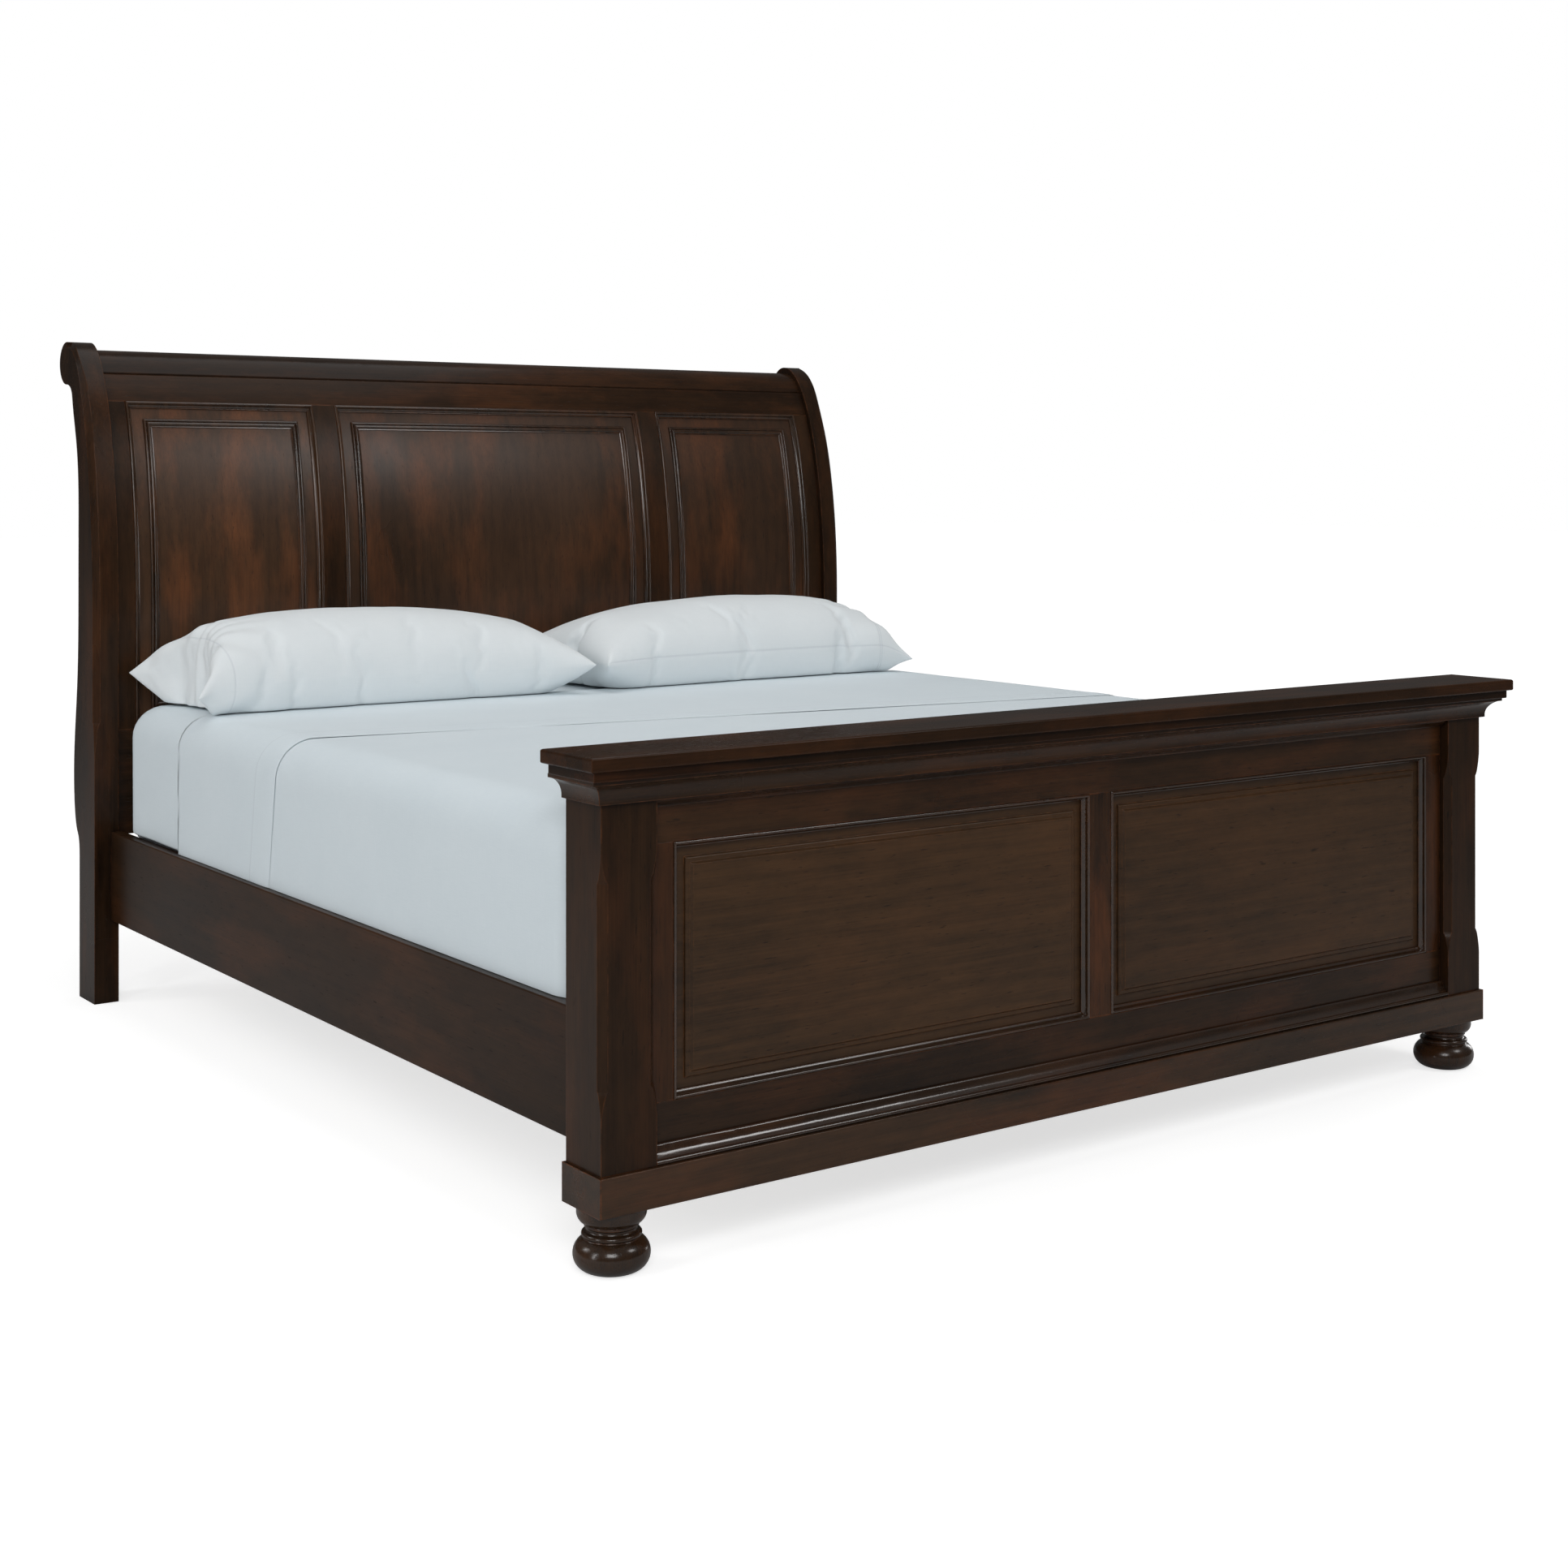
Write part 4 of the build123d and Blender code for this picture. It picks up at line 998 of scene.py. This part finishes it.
# %% [markdown]
# The split foundation. Under a king mattress are two narrow box foundations, each a
# timber box covered in grey ticking with piping sewn round its top and bottom edges.
# They are mostly hidden by the side rails, so a bevelled block with a raised cord
# is enough, and the cord is a curve swept with a small round section.

# %% Ticking and piping
ticking = cotton("grey_ticking", (0.42, 0.44, 0.47), (0.33, 0.35, 0.38), "flat", 0.05, 0.9)


def piping(bm, low, high, z, radius):
    """A cord round the edge of a box at one height, added to the box's mesh."""
    outline = bmesh.new()
    bmesh.ops.create_grid(outline, x_segments=1, y_segments=1, size=1.0)
    half = (high - low) / 2
    bmesh.ops.scale(outline, vec=(half.x, half.y, 1), verts=outline.verts)
    bmesh.ops.translate(
        outline, vec=(low.x + half.x, low.y + half.y, z), verts=outline.verts
    )
    bmesh.ops.bevel(
        outline, geom=outline.verts[:], offset=0.03, offset_type="OFFSET", segments=5,
        profile=0.5, affect="VERTICES", material=-1,
    )
    outline.faces.ensure_lookup_table()
    points = [corner.vert.co.copy() for corner in outline.faces[0].loops]
    outline.free()
    cord = bpy.data.curves.new("piping", "CURVE")
    cord.dimensions = "3D"
    cord.bevel_depth = radius
    cord.bevel_resolution = 3
    run = cord.splines.new("POLY")
    run.points.add(len(points) - 1)
    for spot, point in zip(run.points, points):
        spot.co = (*point, 1)
    run.use_cyclic_u = True
    holder = bpy.data.objects.new("piping", cord)
    made = bpy.data.meshes.new_from_object(holder)
    bm.from_mesh(made)
    bpy.data.objects.remove(holder)


# %% [markdown]
# Covering the two halves. The ticking is stapled under each box and pulled tight, so the
# corners are rounded and the sides swell by a millimetre or two between the piping above
# and below. The block is bevelled first at its upright corners, then round the top and
# bottom, and sliced so that its sides can swell.

# %% Foundation covers
CORNER_ROUND, EDGE_ROUND = 0.03, 0.006
PIPING_RADIUS, PIPING_INSET = 0.0036, 0.009

for node in ("foundation_left", "foundation_right"):
    low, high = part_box(node)
    inside_low = low + Vector((0.003, 0.003, 0.0005))
    inside_high = high - Vector((0.003, 0.003, 0.0005))
    bm = bmesh.new()
    bmesh.ops.create_cube(bm, size=1.0)
    bmesh.ops.scale(bm, vec=inside_high - inside_low, verts=bm.verts)
    bmesh.ops.translate(bm, vec=(inside_low + inside_high) / 2, verts=bm.verts)
    bmesh.ops.bevel(
        bm, geom=edges_where(bm, lambda a, b: abs(a.z - b.z) > 0.05), offset=CORNER_ROUND,
        offset_type="OFFSET", segments=5, profile=0.5, affect="EDGES", material=-1,
    )
    flats = edges_where(bm, lambda a, b: abs(a.z - b.z) < 1e-4)
    bmesh.ops.bevel(
        bm, geom=flats, offset=EDGE_ROUND, offset_type="OFFSET", segments=3, profile=0.5,
        affect="EDGES", material=-1,
    )
    for axis, pitch in ((0, 0.08), (1, 0.08), (2, 0.03)):
        cross_cut(bm, axis, inside_low[axis], inside_high[axis], pitch)
    bm.normal_update()
    middle = (inside_low + inside_high) / 2
    for vert in bm.verts:
        swell = 1 - abs(vert.co.z - middle.z) / ((inside_high.z - inside_low.z) / 2)
        if abs(vert.normal.z) < 0.5:
            vert.co += vert.normal * 0.0018 * swell
    for z in (inside_low.z + PIPING_INSET, inside_high.z - PIPING_INSET):
        piping(bm, inside_low, inside_high, z, PIPING_RADIUS)
    bm.normal_update()
    flat_map(bm, by_side)
    cover = new_piece(node + "_cover", bm, ticking)
    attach(cover, "foundation")
    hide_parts(node)
print("foundation covers made, each", len(cover.data.polygons), "faces")

# %% [markdown]
# The floor of the studio. A furniture studio has a pale paper sweep that is lit until it
# is nearly white. The floor here is a plain matt grid; it also glows a little for the
# camera alone, more with distance, so the line where it ends doesn't show while the soft
# shadow near the bed stays.

# %% Studio floor
FLOOR_HALF = 40.0

bm = bmesh.new()
bmesh.ops.create_grid(bm, x_segments=2, y_segments=2, size=FLOOR_HALF)
floor_material = bpy.data.materials.new("pale_floor")
floor_material.use_nodes = True
tree = floor_material.node_tree
paint = tree.nodes["Principled BSDF"]
place = lay(tree, "ShaderNodeTexCoord").outputs["Object"]
patch = cloud(tree, place, 1.5, 3.0)
tree.links.new(
    blend_colour(
        tree, spread(tree, patch, 0.3, 0.7), (0.74, 0.74, 0.74, 1), (0.77, 0.77, 0.77, 1)
    ),
    paint.inputs["Base Color"],
)
paint.inputs["Roughness"].default_value = 0.9
paint.inputs["Specular IOR Level"].default_value = 0.1
paint.inputs["Emission Color"].default_value = (1, 1, 1, 1)
glow_path = lay(tree, "ShaderNodeLightPath")
far_out = lay(tree, "ShaderNodeVectorMath", {"operation": "LENGTH"}, {0: place}).outputs["Value"]
fade = spread(tree, far_out, 1.8, 6.0, 0.68, 1.0)
tree.links.new(
    sum_of(tree, "MULTIPLY", glow_path.outputs["Is Camera Ray"], fade),
    paint.inputs["Emission Strength"],
)
floor = new_piece("studio_floor", bm, floor_material)
print("floor laid,", 2 * FLOOR_HALF, "m across")

# %% [markdown]
# The surround. The camera sees pure white behind the bed, but polished wood must not
# mirror a white room or it looks milky. So the world is white only for rays from the
# camera, and for all others it is a dim room that grows brighter overhead.

# %% Studio surround
world = bpy.data.worlds.new("studio")
bpy.context.scene.world = world
world.use_nodes = True
tree = world.node_tree
backdrop = tree.nodes["Background"]
path = lay(tree, "ShaderNodeLightPath")
direction = lay(tree, "ShaderNodeTexCoord").outputs["Generated"]
look = lay(tree, "ShaderNodeSeparateXYZ", {}, {0: direction})
rising = spread(tree, look.outputs["Z"], 0.0, 0.9, 0.05, 0.24)
seen = sum_of(tree, "MAXIMUM", path.outputs["Is Camera Ray"], rising)
backdrop.inputs["Color"].default_value = (1, 1, 1, 1)
tree.links.new(seen, backdrop.inputs["Strength"])
print("surround has", len(tree.nodes), "nodes")

# %% [markdown]
# The lamps. Dark lacquered wood is lit by what it mirrors more than by what falls on it.
# Large softboxes make broad gentle highlights, and two narrow strips draw thin lines of
# light along the beads and chamfers. The key stands before the footboard's left corner,
# and the fills keep the sheets from going grey on the left.

# %% Lamps


def softbox(name, where, aim, width, height, watts):
    """A large soft lamp facing a point of the bed."""
    lamp = bpy.data.lights.new(name, "AREA")
    lamp.shape = "RECTANGLE"
    lamp.size, lamp.size_y = width, height
    lamp.energy = watts
    holder = bpy.data.objects.new(name, lamp)
    holder.location = where
    holder.rotation_mode = "QUATERNION"
    holder.rotation_quaternion = (Vector(aim) - Vector(where)).to_track_quat("-Z", "Y")
    bpy.context.scene.collection.objects.link(holder)


# name, place, aim, width, height, watts
LAMPS = [
    ("key_softbox", (-3.4, -5.2, 3.4), (0, 0, 0.6), 2.4, 1.8, 112),
    ("side_softbox", (-4.3, 1.7, 3.0), (-0.9, 0.8, 0.5), 1.2, 1.2, 31),
    ("top_softbox", (0.2, 0.2, 4.2), (0, 0.2, 0.0), 3.2, 2.6, 46),
    ("edge_strip", (-4.3, -1.4, 1.5), (-0.5, 1.2, 1.1), 0.4, 2.2, 25),
    ("right_strip", (4.6, -0.4, 0.9), (-0.2, -0.9, 0.6), 0.5, 1.6, 18),
    ("right_softbox", (2.3, -4.2, 3.9), (0, 0.3, 0.7), 1.6, 1.2, 44),
]
for lamp in LAMPS:
    softbox(*lamp)
print("lamps:", len(LAMPS))

# %% [markdown]
# The camera stands off the footboard's left corner, at about chest height, and its lens
# is shifted down instead of tilted, as an architect's camera is, so that upright posts
# stay upright in the view.

# %% Camera
eye = bpy.data.cameras.new("studio_camera")
eye.sensor_width = 36
eye.lens = 50.915
eye.shift_x, eye.shift_y = 0.0, -0.1955
eye.dof.use_dof = False
camera = bpy.data.objects.new("studio_camera", eye)
camera.location = (-2.7516, -4.0178, 1.2)
camera.rotation_euler = (math.radians(90), 0, math.radians(-35.87))
bpy.context.scene.collection.objects.link(camera)
bpy.context.scene.camera = camera
bpy.context.scene.view_settings.view_transform = "Standard"
print("camera lens", round(eye.lens, 1), "mm, height", round(camera.location.z, 2), "m")
